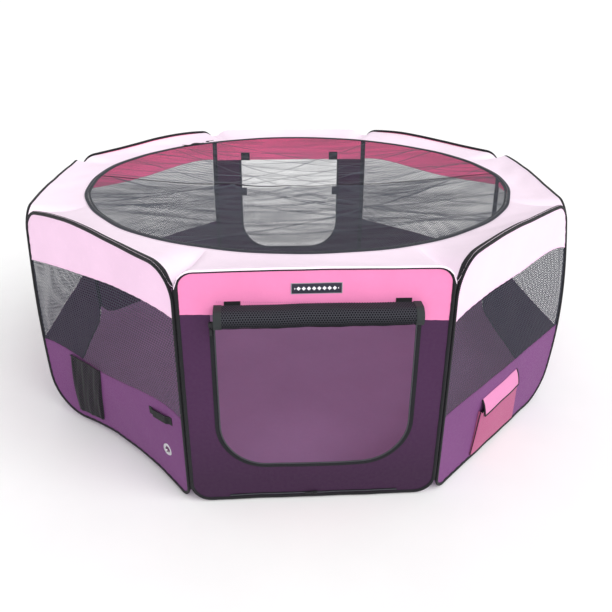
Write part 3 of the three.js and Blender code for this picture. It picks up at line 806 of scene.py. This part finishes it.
def make_straps(panel, lefts):
    """Each strap folds over the band's lower edge, long leg outside and short leg inside."""
    low, reach = UPPER_SEAM - 1.2 * MM, 1.4 * MM
    path = [(-reach, z) for z in linspace(521 * MM, low + 1 * MM, 8)]
    path += [(-reach * cos(a), low - 0.4 * MM * sin(a)) for a in linspace(0, pi, 7)[1:-1]]
    path = np.array(path + [(reach, z) for z in linspace(low + 1 * MM, 537 * MM, 12)])
    along = lengths_along(path)
    for side, left in zip(("left", "right"), lefts):
        x = left + linspace(0, STRAP_WIDTH, 9)
        points = place(panel, x, path[:, 1:], CLOTH_DEPTH + path[:, :1])
        strap = sewn(f"{panel}_strap_{side}", f"{panel}_panel", points, (x, column(along)), WEBBING,
                     "webbing", f"{panel}_door_strap_{side}", thickness=1.2 * MM)


def make_corner_tapes():
    """A tape inside each corner covers the join of two panels. Only the one after the back panel is attached,
    to the back panel; the others are not attached to a panel.
    """
    depth = BINDING_DEPTHS[0] - 0.2 * MM
    insets = np.array([7, 5, 3, 1.2]) * MM
    for index, panel in enumerate(PANELS):
        following = PANELS[(index + 1) % 8]
        high = PANEL_TOP - CORNER_DIP[index] * MM - 4 * MM
        z = linspace(PANEL_LOW + corner_climb(index), high, 66)
        before = [place(panel, HALF - inset, z, depth) for inset in (*insets, 0)]
        after = [place(following, inset - HALF, z, depth) for inset in (0, *insets[::-1])]
        points = np.stack(before[:-1] + [(before[-1] + after[0]) / 2] + after[1:], 1)
        across = np.concatenate([-insets, [0], insets[::-1]])
        tape = sheet_object(f"{panel}_corner_tape", points, (across, column(z)), TAPE, 0.7 * MM)
        if panel == "back":
            finish_piece(tape, "back_panel", TAPE, "binding_tape")
            continue
        start = place(panel, HALF - insets[2], high / 2, depth)
        end = place(following, insets[2] - HALF, high / 2, depth)
        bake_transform(tape)


def make_panels():
    for panel in PANELS:
        make_binding(panel)
        make_upper_band(panel)
        if panel not in DOORS:
            make_window_panel(panel)
            continue
        door = {key: np.array(value) * MM for key, value in DOORS[panel].items()}
        make_surround(panel, door["half"], door["low"])
        make_door_zip(panel, door["half"], door["low"])
        make_door_roll(panel, *door["roll"])
        make_straps(panel, door["straps"])


# ---- Top ring, its zip and the mesh top ----
def ring_outer_height(panel, x):
    """Height of the ring's sewn edge: it follows the panel's outline but drops only so far at a corner."""
    index = PANELS.index(panel)
    dip = where(x < 0, CORNER_DIP[index - 1], CORNER_DIP[index]) * MM
    return PANEL_TOP - np.minimum(edge_cut(x, *radii_of(panel)[2:]), dip)


def rim_waver(turn):
    """The hand-sewn opening is not a perfect circle: share by which its radius wanders."""
    return 0.0035 * sin(5 * turn + 0.6) + 0.002 * sin(11 * turn + 2.0) + 0.0012 * sin(23 * turn)


def rim_points(panel, radii, heights, count):
    """Rings of points round the opening within one panel's eighth, and their texture coordinates."""
    outward, rightward = panel_axes(panel)
    angle = radians(22.5) * linspace(-1, 1, count)
    direction = outward * column(cos(angle)) + rightward * column(sin(angle))
    points = direction * (1 + column(rim_waver(panel_turn(panel) + angle))) * column(column(radii))
    points[..., 2] = column(heights)
    return points, (angle * OPENING_RADIUS, column(radii))


def sector(panel, share):
    """Points from the panel's top edge (share 0) to the round opening (share 1), and their texture's."""
    across, share = linspace(-1, 1, 75), column(share)
    x = HALF * across
    drop = RING_DROP.get(panel, 0.0) * MM * (1 - across ** 8)
    height, depth = ring_outer_height(panel, x), BINDING_DEPTHS[1]
    if panel == "front":
        # Here the ring laps over the binding.
        outer = place(panel, x, height + 0.7 * MM, depth - 0.5 * MM)
    else:
        outer = place(panel, x, height - drop, 2 * MM - np.minimum(drop, 2 * MM))
    inner = rim_points(panel, [OPENING_RADIUS], [RIM_HEIGHT], 75)[0][0]
    points = outer * (1 - share[..., None]) + inner * share[..., None]
    wrinkle = 1.3 * MM * sin(11 * across + 5 * share + 2 * PANELS.index(panel))
    points[..., 2] += sin(pi * share) * (wrinkle * (1 - across ** 2) - 4 * MM)
    if panel == "front":
        points = np.concatenate([place(panel, x, height - 3.2 * MM, depth + 0.7 * MM)[None], points])
    return points


def make_ring():
    for panel in PANELS:
        points = sector(panel, linspace(0, 1, 22))
        outward, rightward = panel_axes(panel)
        nodes = ["top_ring"] if panel == "front" else []
        # The ring's paler pink is painted light on the pale pink cloth.
        cloth = sewn(f"{panel}_ring_cloth", f"{panel}_panel", points, (points @ rightward, points @ outward),
                     RING_PINK_LIT, "pale_pink_cloth", *nodes, backing=BAND_BACK)
        height = APOTHEM - OPENING_RADIUS * cos(radians(22.5))
        fold_with_pen(cloth, panel)
        make_ring_zip(panel)
    make_top_welt("front_left", 1)
    make_top_welt("front_right", -1)


def make_top_welt(panel, towards_front):
    """A dark welt beside the binding of a front corner panel, wider towards the front."""
    points = sector(panel, linspace(0, 1, 5) * 9 * MM / (APOTHEM - OPENING_RADIUS))
    across = linspace(-1, 1, 75)
    share = 0.35 + 0.65 * clip(0.7 + towards_front * across * 1.6, 0, 1)
    share = share * clip((1 - np.abs(across)) * 9, 0, 1) ** 0.5
    points = points[:1] + (points - points[:1]) * column(share)
    points[..., 2] += 1.1 * MM
    uv = points @ panel_axes(panel)[1], points[..., 2]
    welt = sewn(f"{panel}_top_welt", f"{panel}_panel", points, uv, TAPE, "binding_tape", thickness=0.8 * MM)
    fold_with_pen(welt, panel)


def fold_with_pen(obj, panel):
    """Gives the roof's cloth its own copy of its mesh."""
    outward, _ = panel_axes(panel)
    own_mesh(obj)


def fold_flat(obj):
    """Gives cloth that spans the whole pen its own copy of its mesh."""
    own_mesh(obj)


def make_ring_zip(panel):
    nodes = ["top_zip_tape"] if panel == "front" else []
    points, uv = rim_points(panel, TOP_MESH_RADIUS + np.array([0.6, 2.6, 5.6, 8.6, 11.1]) * MM,
                            RIM_HEIGHT + np.array([0.4, 1.4, 2.0, 2.2, 2.2]) * MM, 41)
    tape = sewn(f"{panel}_top_tape", f"{panel}_panel", points, uv, SLATE_TAPE, "zip_tape", *nodes)
    fold_with_pen(tape, panel)
    angle = linspace(0, 2 * pi, 9)
    points, uv = rim_points(panel, TOP_MESH_RADIUS + 2.6 * MM + 1.7 * MM * cos(angle),
                            RIM_HEIGHT + 2.9 * MM + 1.4 * MM * sin(angle), 41)
    coil = grid_object(f"{panel}_top_coil", points, uv, wrap_rows=True)
    cap_ends(coil)
    finish_piece(coil, f"{panel}_panel", COIL, "zip_tape")
    fold_with_pen(coil, panel)


def top_height(x, y):
    """Height of the sagging mesh top."""
    away, angle = hypot(x, y) / TOP_MESH_RADIUS, np.arctan2(y, x)
    fade = clip(1 - away ** 4, 0, 1)
    height = RIM_HEIGHT + 0.5 * MM - TOP_SAG * clip(1 - away ** 2, 0, 1) ** 1.15
    for degrees, offset, rise in TOP_CREASES:
        turn = radians(degrees)
        distance = y * cos(turn) - x * sin(turn) - offset * MM
        height = height + rise * MM * np.exp(-np.abs(distance) / (26 * MM)) * fade
    ripples = sin(13 * angle + 1.3) + 0.6 * sin(23 * angle - 5 * away) + 0.4 * sin(37 * angle + 2)
    return height + 1.7 * MM * ripples * away ** 2 * fade


def on_top(x, y, lift=0.0):
    """Points of the mesh top, whose edge wanders with the opening's."""
    near_edge = clip(hypot(x, y) / TOP_MESH_RADIUS, 0, 1) ** 3
    spread = 1 + rim_waver(np.arctan2(y, x)) * near_edge
    return np.stack([x * spread, y * spread, top_height(x, y) + lift], -1)


def circles(radii):
    """Across and back positions of rings of points round the middle."""
    angles = linspace(0, 2 * pi, 193)
    return column(radii) * cos(angles), column(radii) * sin(angles)


def top_sheet(name, points, uv, material, thickness, *nodes, **grid):
    obj = sewn(name, "mesh_top", points, uv, material, "black_mesh", *nodes, thickness=thickness, **grid)
    fold_flat(obj)
    return obj


def make_mesh_top():
    radii = linspace(0.0, 1.0, 64) ** 0.9 * TOP_MESH_RADIUS
    radii[0] = 0.05 * MM
    x, y = circles(radii)
    net = top_sheet("mesh_top_net", on_top(x, y), (x, y), TOP_NET, MESH_THICKNESS, "top_mesh",
                    wrap_columns=True)
    make_near_layer()
    slope, along = radians(-1), linspace(-0.995, 0.995, 120) * TOP_MESH_RADIUS
    x, y = along * cos(slope), column(SEAM_Y + np.array([-2.5, 0, 2.5]) * MM) + along * sin(slope)
    away = hypot(x, y)
    x = where(away < TOP_MESH_RADIUS, x, x * TOP_MESH_RADIUS / np.maximum(away, 1e-6))
    top_sheet("mesh_top_seam", on_top(x, y, 1.0 * MM), (x, y), ZIP_TAPE, 0.8 * MM)
    radii = linspace(TOP_MESH_RADIUS - 5.4 * MM, TOP_MESH_RADIUS, 4)
    uv = linspace(0, 2 * pi, 193) * TOP_MESH_RADIUS, column(radii)
    top_sheet("mesh_top_edge", on_top(*circles(radii), 0.9 * MM), uv, SLATE_TAPE, 0.9 * MM, wrap_columns=True)


def make_near_layer():
    """The half of the mesh top nearest the front is double: its lower layer."""
    reach = TOP_MESH_RADIUS - 2 * MM
    rows = column(linspace(-0.998, SEAM_Y / reach, 60) * reach)
    x = np.sqrt(reach ** 2 - rows ** 2) * linspace(-1, 1, 90)
    y = rows + 0 * x
    below = 3.0 * MM * (1 - hypot(x, y) / TOP_MESH_RADIUS) + 0.9 * MM
    layer = top_sheet("mesh_top_near_layer", on_top(x, y, -below), (x + 2.1 * MM, y + 1.3 * MM), TOP_NET,
                      MESH_THICKNESS)


# ---- Floor ----
def corner_climb(index):
    """How high the floor turns up inside a corner, to close the notch of the rounded outlines."""
    return 0.62 * max(radii_of(PANELS[index % 8])[1], radii_of(PANELS[(index + 1) % 8])[0])


def floor_edge(panel):
    """The floor cloth's edge along one panel: it climbs a little inside the rounded corners."""
    x = HALF * sin(linspace(-1, 1, 25)[:-1] * pi / 2)
    index = PANELS.index(panel)
    highest = where(x < 0, corner_climb(index - 1), corner_climb(index))
    return place(panel, x, PANEL_LOW + np.minimum(edge_cut(x, *radii_of(panel)[:2]), highest), -1.2 * MM)


def make_floor_sheet():
    low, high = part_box("floor_sheet")
    rim = np.concatenate([floor_edge(panel) for panel in PANELS])
    rim = np.concatenate([rim, rim[:1]])
    share = column(linspace(0.0005, 1, 44))
    x, y = share * rim[:, 0], share * rim[:, 1]
    wave = (sin(9 * x + 3 * y) * sin(7 * y - 4 * x + 1) + 0.5 * sin(19 * x - 11 * y)) * 0.5 + 0.75
    lifted = (rim[:, 2] + 6 * MM - low.z) * clip((share - 0.88) / 0.12, 0, 1) ** 2
    height = low.z + 1.0 * MM + 2.4 * MM * np.maximum(wave, 0) * clip((1 - share) * 9, 0, 1) + lifted
    cloth = sewn("floor_cloth_sheet", "front_panel", np.stack([x, y, height], -1), (x, y), MAUVE,
                 "floor_cloth", "floor_sheet", thickness=1.9 * MM, wrap_columns=True)
    fold_flat(cloth)


# ---- Zip sliders ----
def box_part(size, centre, bevel):
    """A box with rounded edges, its size and centre in millimetres."""
    signs = [(sx, sy, sz) for sx in (-1, 1) for sy in (-1, 1) for sz in (-1, 1)]
    corners = (np.array(signs) * size / 2 + centre) * MM
    faces = [(0, 1, 3, 2), (4, 6, 7, 5), (0, 4, 5, 1), (2, 3, 7, 6), (0, 2, 6, 4), (1, 5, 7, 3)]
    obj = new_object("part", corners, faces)
    rounding = obj.modifiers.new("bevel", "BEVEL")
    rounding.width = bevel * MM
    rounding.segments = 2
    return bake(obj)


def ring_part(radius, wire, centre, stretch):
    """A wire loop standing in the X and Z plane, in millimetres."""
    around, section = column(linspace(0, 2 * pi, 25)), linspace(0, 2 * pi, 9)
    reach = radius + wire * cos(section)
    y = wire * sin(section) + 0 * around
    points = np.stack([reach * cos(around), y, reach * sin(around) * stretch], -1) + centre
    return grid_object("part", points * MM, (around * radius * MM, section * wire * MM), True, True)


def zip_slider(name, body, node, matrix):
    """Two plates round the coil, a bridge, a wire link and a pull tab, hanging towards -Z."""
    slider = joined(name, [
        box_part((9.0, 1.2, 12), (0, 0.4, 0), 0.55),
        box_part((7.4, 1.0, 10), (0, -1.0, 0), 0.5),
        box_part((3.0, 1.6, 7), (0, -1.9, 1), 0.7),
        ring_part(2.3, 0.5, (0, -1.7, -6.2), 1.3),
        box_part((5.4, 1.1, 15), (0, -1.8, -17.6), 0.55),
        ring_part(1.7, 0.45, (0, -1.8, -21.5), 1.0),
    ])
    slider.data.transform(matrix)
    slider.data.shade_smooth()
    slider.data.set_sharp_from_angle(angle=radians(40))
    return finish_piece(slider, body, ENAMEL, "zip_slider", node)


def on_panel(panel, x, z, depth):
    """Matrix of a small rigid part on a panel, its back towards the cloth."""
    outward, rightward = panel_axes(panel)
    turn = Matrix((tuple(rightward), tuple(-outward), (0, 0, 1))).transposed()
    return Matrix.Translation(Vector(place(panel, x, z, depth))) @ turn.to_4x4()


def make_sliders():
    for panel, door in DOORS.items():
        spot = on_panel(panel, -door["half"] * MM - TAPE_WIDTH / 2 - 2 * MM, 483 * MM, TAPE_DEPTH + 2 * MM)
        zip_slider(f"{panel}_door_zip_pull", f"{panel}_door_zip_slider", f"{panel}_door_slider", spot)
    spot = on_panel("front", 2 * MM, 18 * MM, BINDING_DEPTHS[1] + 1.6 * MM)
    zip_slider("floor_zip_pull", "floor_zip_slider", "floor_slider", spot @ Matrix.Rotation(pi / 2, 4, "Y"))
    low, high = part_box("top_slider")
    angle = np.arctan2(low.y + high.y, low.x + high.x)
    radius = TOP_MESH_RADIUS + 6 * MM
    spot = Matrix.Translation((radius * cos(angle), radius * sin(angle), RIM_HEIGHT + 6.5 * MM))
    lying = Matrix.Rotation(angle, 4, "Z") @ Matrix.Rotation(-pi / 2, 4, "X")
    fold_flat(zip_slider("top_zip_pull", "top_zip_slider", "top_slider", spot @ lying))
    make_zip_garage(angle)


def make_zip_garage(angle):
    """The folded tape ends under which the top slider parks, sewn over the zip."""
    turn = angle + radians(linspace(1.6, 9.5, 26))
    across = column(linspace(-7, 9, 7) * MM)
    radius = TOP_MESH_RADIUS + 3 * MM + across * (1 + 0.25 * sin(90 * turn))
    height = RIM_HEIGHT + 4.2 * MM + 1.6 * MM * sin(70 * turn) + 1.5 * MM * cos(across * 180)
    points = np.stack([radius * cos(turn), radius * sin(turn), height], -1)
    cover = sewn("top_zip_garage", "back_left_panel", points, (turn * TOP_MESH_RADIUS, across), TAPE,
                 "zip_tape", thickness=1.2 * MM)
    fold_with_pen(cover, "back_left")


# ---- Things sewn to single panels ----
def make_label():
    low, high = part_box("woven_label")
    half_width, half_height = (high.x - low.x) / 2, (high.z - low.z) / 2
    x, z = linspace(-half_width, half_width, 45), column(linspace(-half_height, half_height, 13))
    depth = CLOTH_DEPTH + 0.9 * MM + 0.5 * MM * sin(pi * (z / half_height + 1) / 2)
    label = sewn("sewn_label", "front_panel", place("front", x, (high.z + low.z) / 2 + z, depth), (x, z),
                 woven_label("woven_label_damask", half_width, half_height), "label_weave", "woven_label",
                 thickness=0.8 * MM)


def pocket_section(corner):
    """Across and outward shares of a bellows pocket seen from above, from panel to panel."""
    angles = linspace(pi, pi / 2, 8)
    left = [(-1, 0.0), (-1, 0.4)]
    left += [(corner - 1 + corner * cos(a), 1 - 0.25 * (1 - sin(a))) for a in angles]
    middle = [(x, 1.0) for x in linspace(1.5 * corner - 1, 1 - 1.5 * corner, 24)]
    return np.array(left + middle + [(-x, d) for x, d in reversed(left)])


def sewn_pocket(name, panel, rows, left, right, section, stand_off, back, width, material, slot, node,
                thickness):
    """A pocket given by its rows' ends and how far it stands off; its lowest row closes it."""
    x = column(left + right) / 2 + section[:, 0] * column(right - left) / 2
    depth = back + section[:, 1] * stand_off
    z = column(rows) + 0 * x
    pairs = ((x[:1], x), (z[:1], z), (back + 0 * x[:1], depth))
    x, z, depth = (np.vstack(pair) for pair in pairs)
    along = lengths_along(section * np.array([width, 12]) * MM)
    cloth = sewn(name, f"{panel}_panel", place(panel, x, z, depth), (along, z), material, slot, node,
                 thickness=thickness)
    return cloth, depth[-1].max()


def treat_pocket():
    """A pocket that is wider at its foot and stands off the panel towards its lip."""
    share = linspace(0, 1, 26)
    rows = (18 + 132 * share) * MM
    left, right = (-134 + 14 * share) * MM, (104 - 28 * share) * MM
    section, back, reach = pocket_section(0.06), CLOTH_DEPTH + 1 * MM, 4 * MM + 6.5 * MM * share
    slump = 2.4 * MM * cos(pi * section[:, 0] / 2) * column(sin(pi * share))
    cloth, _ = sewn_pocket("treat_pocket_cloth", "front_right", rows, left, right, section,
                           column(reach) + slump, back, 110, POCKET_PINK, "pocket_cloth", "treat_pocket",
                           CLOTH_THICKNESS)
    lip = linspace(left[-1], right[-1], 40)
    bound("treat_pocket_binding", "front_right", "front_right_panel", [
        (left, rows, back + 0.6 * reach, 2.0), (right, rows, back + 0.6 * reach, 2.0),
        (lip, rows[-1], back + 10.5 * MM, 1.8)])


def edge_tape(name, panel, x, z, depth, radius):
    """A narrow folded tape along a line on a panel, as a soft tube."""
    path = place(panel, x, z, depth)
    tangent = np.gradient(path, axis=0)
    tangent /= column(np.linalg.norm(tangent, axis=1))
    side = np.cross(tangent, panel_axes(panel)[0])
    side /= column(np.linalg.norm(side, axis=1))
    lift = np.cross(side, tangent)
    angle = column(linspace(0, 2 * pi, 11))
    points = path + side * radius * cos(angle)[..., None] + lift * 0.7 * radius * sin(angle)[..., None]
    obj = grid_object(name, points, (lengths_along(path), angle * radius), wrap_rows=True)
    cap_ends(obj)
    return obj


def bound(name, panel, body, lines):
    """A pocket's bound edges as one piece, each given as across, up, depth and radius."""
    edges = [edge_tape("edge", panel, x, z, depth, radius * MM) for x, z, depth, radius in lines]
    for edge in edges:
        edge.data.materials.append(TAPE)
    finish_piece(joined(name, edges), body, TAPE, "binding_tape")


def pocket_flap():
    """Slopes out from its hinge seam in one soft curve and hangs in front of the pocket."""
    path = np.array([(0, 187), (2.5, 183), (5, 178), (7.5, 172), (9.6, 165), (11.4, 158), (12.8, 151),
                     (14, 143)]) * MM
    x, down = linspace(-110 * MM, 72 * MM, 30), column(linspace(0, 1, len(path)))
    depth = CLOTH_DEPTH + 1.0 * MM + path[:, :1] + 0.7 * MM * sin(x / (24 * MM)) * down
    z = path[:, 1:] + 6 * MM * (x + 19 * MM) / (91 * MM)
    along = lengths_along(path)
    points = place("front_right", x, z, depth)
    cloth = sewn("pocket_flap_cloth", "pocket_flap", points, (x, column(along)), FLAP_PINK, "flap_cloth",
                 "treat_pocket_flap", thickness=1.4 * MM)
    bound("pocket_flap_binding", "front_right", "pocket_flap", [
        (x[0], z[:, 0], depth[:, 0], 2.8), (x[-1], z[:, -1], depth[:, -1], 2.8), (x, z[-1], depth[-1], 2.8)])


def mesh_pocket():
    """A slack net pocket whose foot is narrower and set further back than its mouth."""
    share = linspace(0, 1, 34)
    rows = (34 + 195 * share) * MM
    left, right = (-191 + 23 * share) * MM, (-89 + 50 * share) * MM
    section, back = pocket_section(0.1), CLOTH_DEPTH + 0.9 * MM
    hang = 9 * MM * (0.55 + 0.45 * sin(pi * share ** 0.7))
    folds = (1.6 * MM * sin(7 * section[:, 0] + 2.5 * column(share))
             + 1.1 * MM * sin(15 * section[:, 0] - 4 * column(share)))
    # Its near-black, dense net is partly painted shade inside the pocket.
    cloth, lip = sewn_pocket("mesh_pocket_net", "front_left", rows, left, right, section,
                             column(hang) + folds, back, 60, POCKET_NET_SHADED, "black_mesh", "mesh_pocket",
                             MESH_THICKNESS)
    bound("mesh_pocket_binding", "front_left", "front_left_panel", [
        (linspace(left[-1], right[-1], 30), rows[-1], lip - 1 * MM, 2.2),
        (linspace(left[0], right[0], 30), rows[0], back + 2.5 * MM, 2.2),
        (left, rows, back + 2 * MM, 1.8), (right, rows, back + 2 * MM, 1.8)])


def bottle_strap():
    x = linspace(162 * MM, 252 * MM, 40)
    share = linspace(0, 1, 40)
    rise = clip(np.minimum(share, 1 - share) / 0.115 - 1, 0, 1)
    depth = CLOTH_DEPTH + 1.3 * MM + 5 * MM * (rise * rise * (3 - 2 * rise))
    z = column(linspace(188 * MM, 210 * MM, 7)) + 9 * MM * share
    strap = sewn("bottle_strap_webbing", "front_left_panel", place("front_left", x, z, depth), (x, z),
                 WEBBING, "webbing", "bottle_strap", thickness=1.6 * MM)


def hose_eyelet():
    """Nickel eyelet: a rolled flange outside, a barrel through the cloth and a washer inside."""
    bore, flange = EYELET["bore"], EYELET["flange"]
    profile = np.array([
        (bore, -1.4), (bore + 1, -1.9), (flange - 3, -1.9), (flange - 2.6, -1.2), (bore + 1.2, -0.8),
        (bore + 1.2, 0.8), (flange, 0.8), (flange - 0.3, 1.6), (flange - 2.5, 2.2), (bore + 3.5, 2.7),
        (bore + 1.2, 2.6), (bore, 1.6), (bore, -1.4)]) * MM
    angle = linspace(0, 2 * pi, 49)
    x, z = profile[:, :1] * cos(angle), profile[:, :1] * sin(angle)
    outward, rightward = panel_axes("front_left")
    depth = CLOTH_DEPTH + profile[:, 1:] + 0 * x
    points = (place("front_left", EYELET["x"] * MM, EYELET["z"] * MM, 0.0) + rightward * x[..., None]
              + outward * depth[..., None])
    points[..., 2] += z
    eyelet = grid_object("nickel_eyelet", points, (x + EYELET["x"] * MM, z + EYELET["z"] * MM), True, True)
    eyelet.data.set_sharp_from_angle(angle=radians(45))
    finish_piece(eyelet, "front_left_panel", NICKEL, "eyelet_metal", "hose_eyelet")


def doorway_tabs():
    """Two short webbing tabs on the inner edge of the back doorway."""
    parts = []
    for side in (-1, 1):
        x, z = side * linspace(206, 176, 8) * MM, column(linspace(344, 376, 7) * MM)
        droop = 1.5 * MM * linspace(0, 1, 8)
        points = place("back", x, z - droop, CLOTH_DEPTH - 1.6 * MM - droop)
        parts.append(sheet_object("tab", points, (x, z), WEBBING, 2.0 * MM))
    finish_piece(joined("back_doorway_tabs", parts), "back_panel", WEBBING, "webbing")


def floor_zip_tape():
    """The zip that joins the floor runs along the front panel's foot."""
    x, z = linspace(-205, 205, 90) * MM, column([12 * MM, 15 * MM, 18 * MM])
    points = place("front", x, z, CLOTH_DEPTH + 1.2 * MM)
    sewn("floor_zip_tape", "front_panel", points, (x, z), ZIP_TAPE, "zip_tape", thickness=0.8 * MM)
    coil = edge_tape("floor_zip_coil", "front", x, 15.5 * MM, CLOTH_DEPTH + 2.4 * MM, 1.3 * MM)
    finish_piece(coil, "front_panel", COIL, "zip_tape")
    z = linspace(20 * MM, 84 * MM, 16)
    seams = [(np.full_like(z, side * MM), z, CLOTH_DEPTH + 0.9 * MM) for side in (-100, 98)]
    sewn_lines("foot_seams", "front", seams, PURPLE_THREAD, "dark_purple_cloth")


# ---- Camera, light and ground ----
def make_camera():
    """Stands where the panel pitch and the fitted angles put it."""
    azimuth, elevation, roll, view = radians((-3.70, 25.49, 0.35, 48.34))
    target = Vector((0.041, 0.0, 0.291)) * PITCH
    back = Vector((sin(azimuth) * cos(elevation), -cos(azimuth) * cos(elevation), sin(elevation)))
    right = Vector((cos(azimuth), sin(azimuth), 0))
    up = back.cross(right)
    turn = Matrix((cos(roll) * right + sin(roll) * up, cos(roll) * up - sin(roll) * right, back)).transposed()
    camera = bpy.data.objects.new("camera", bpy.data.cameras.new("camera"))
    bpy.context.scene.collection.objects.link(camera)
    camera.matrix_world = Matrix.Translation(target + back * (3.785 * PITCH)) @ turn.to_4x4()
    camera.data.sensor_width = 36
    camera.data.lens = 18 / np.tan(view / 2)
    camera.data.clip_end = 400
    bpy.context.scene.camera = camera


def make_light():
    world = bpy.data.worlds.new("studio")
    bpy.context.scene.world = world
    world.use_nodes = True
    background = world.node_tree.nodes["Background"]
    background.inputs["Color"].default_value = (1, 1, 1, 1)
    background.inputs["Strength"].default_value = 0.68
    for name, energy, angle, spread in (("key", 1.6, (52, 0, 54), 50), ("front", 1.1, (62, 0, -2), 60)):
        light = bpy.data.lights.new(name, "SUN")
        light.energy = energy
        light.angle = radians(spread)
        lamp = bpy.data.objects.new(name, light)
        lamp.rotation_euler = radians(angle)
        bpy.context.scene.collection.objects.link(lamp)


def make_ground():
    corners = [(x, y, -1 * MM) for x, y in ((-150, -150), (150, -150), (150, 150), (-150, 150))]
    ground = new_object("ground", corners, [(0, 1, 2, 3)])
    s = Shader("pale_ground")
    tone = s.ramp(s.noise(s.place(), 3.0))
    ground.data.materials.append(s.finish(s.mix(tone, (0.93, 0.93, 0.93, 1), (0.96, 0.96, 0.96, 1)), 0.9))


for make in (make_camera, make_light, make_ground, make_panels, make_corner_tapes, make_ring, make_mesh_top,
             make_floor_sheet, make_sliders, make_label, treat_pocket, pocket_flap, mesh_pocket, bottle_strap,
             hose_eyelet, doorway_tabs, floor_zip_tape):
    make()

scene = bpy.context.scene
scene.view_settings.view_transform = "Standard"
scene.cycles.transparent_max_bounces = 48
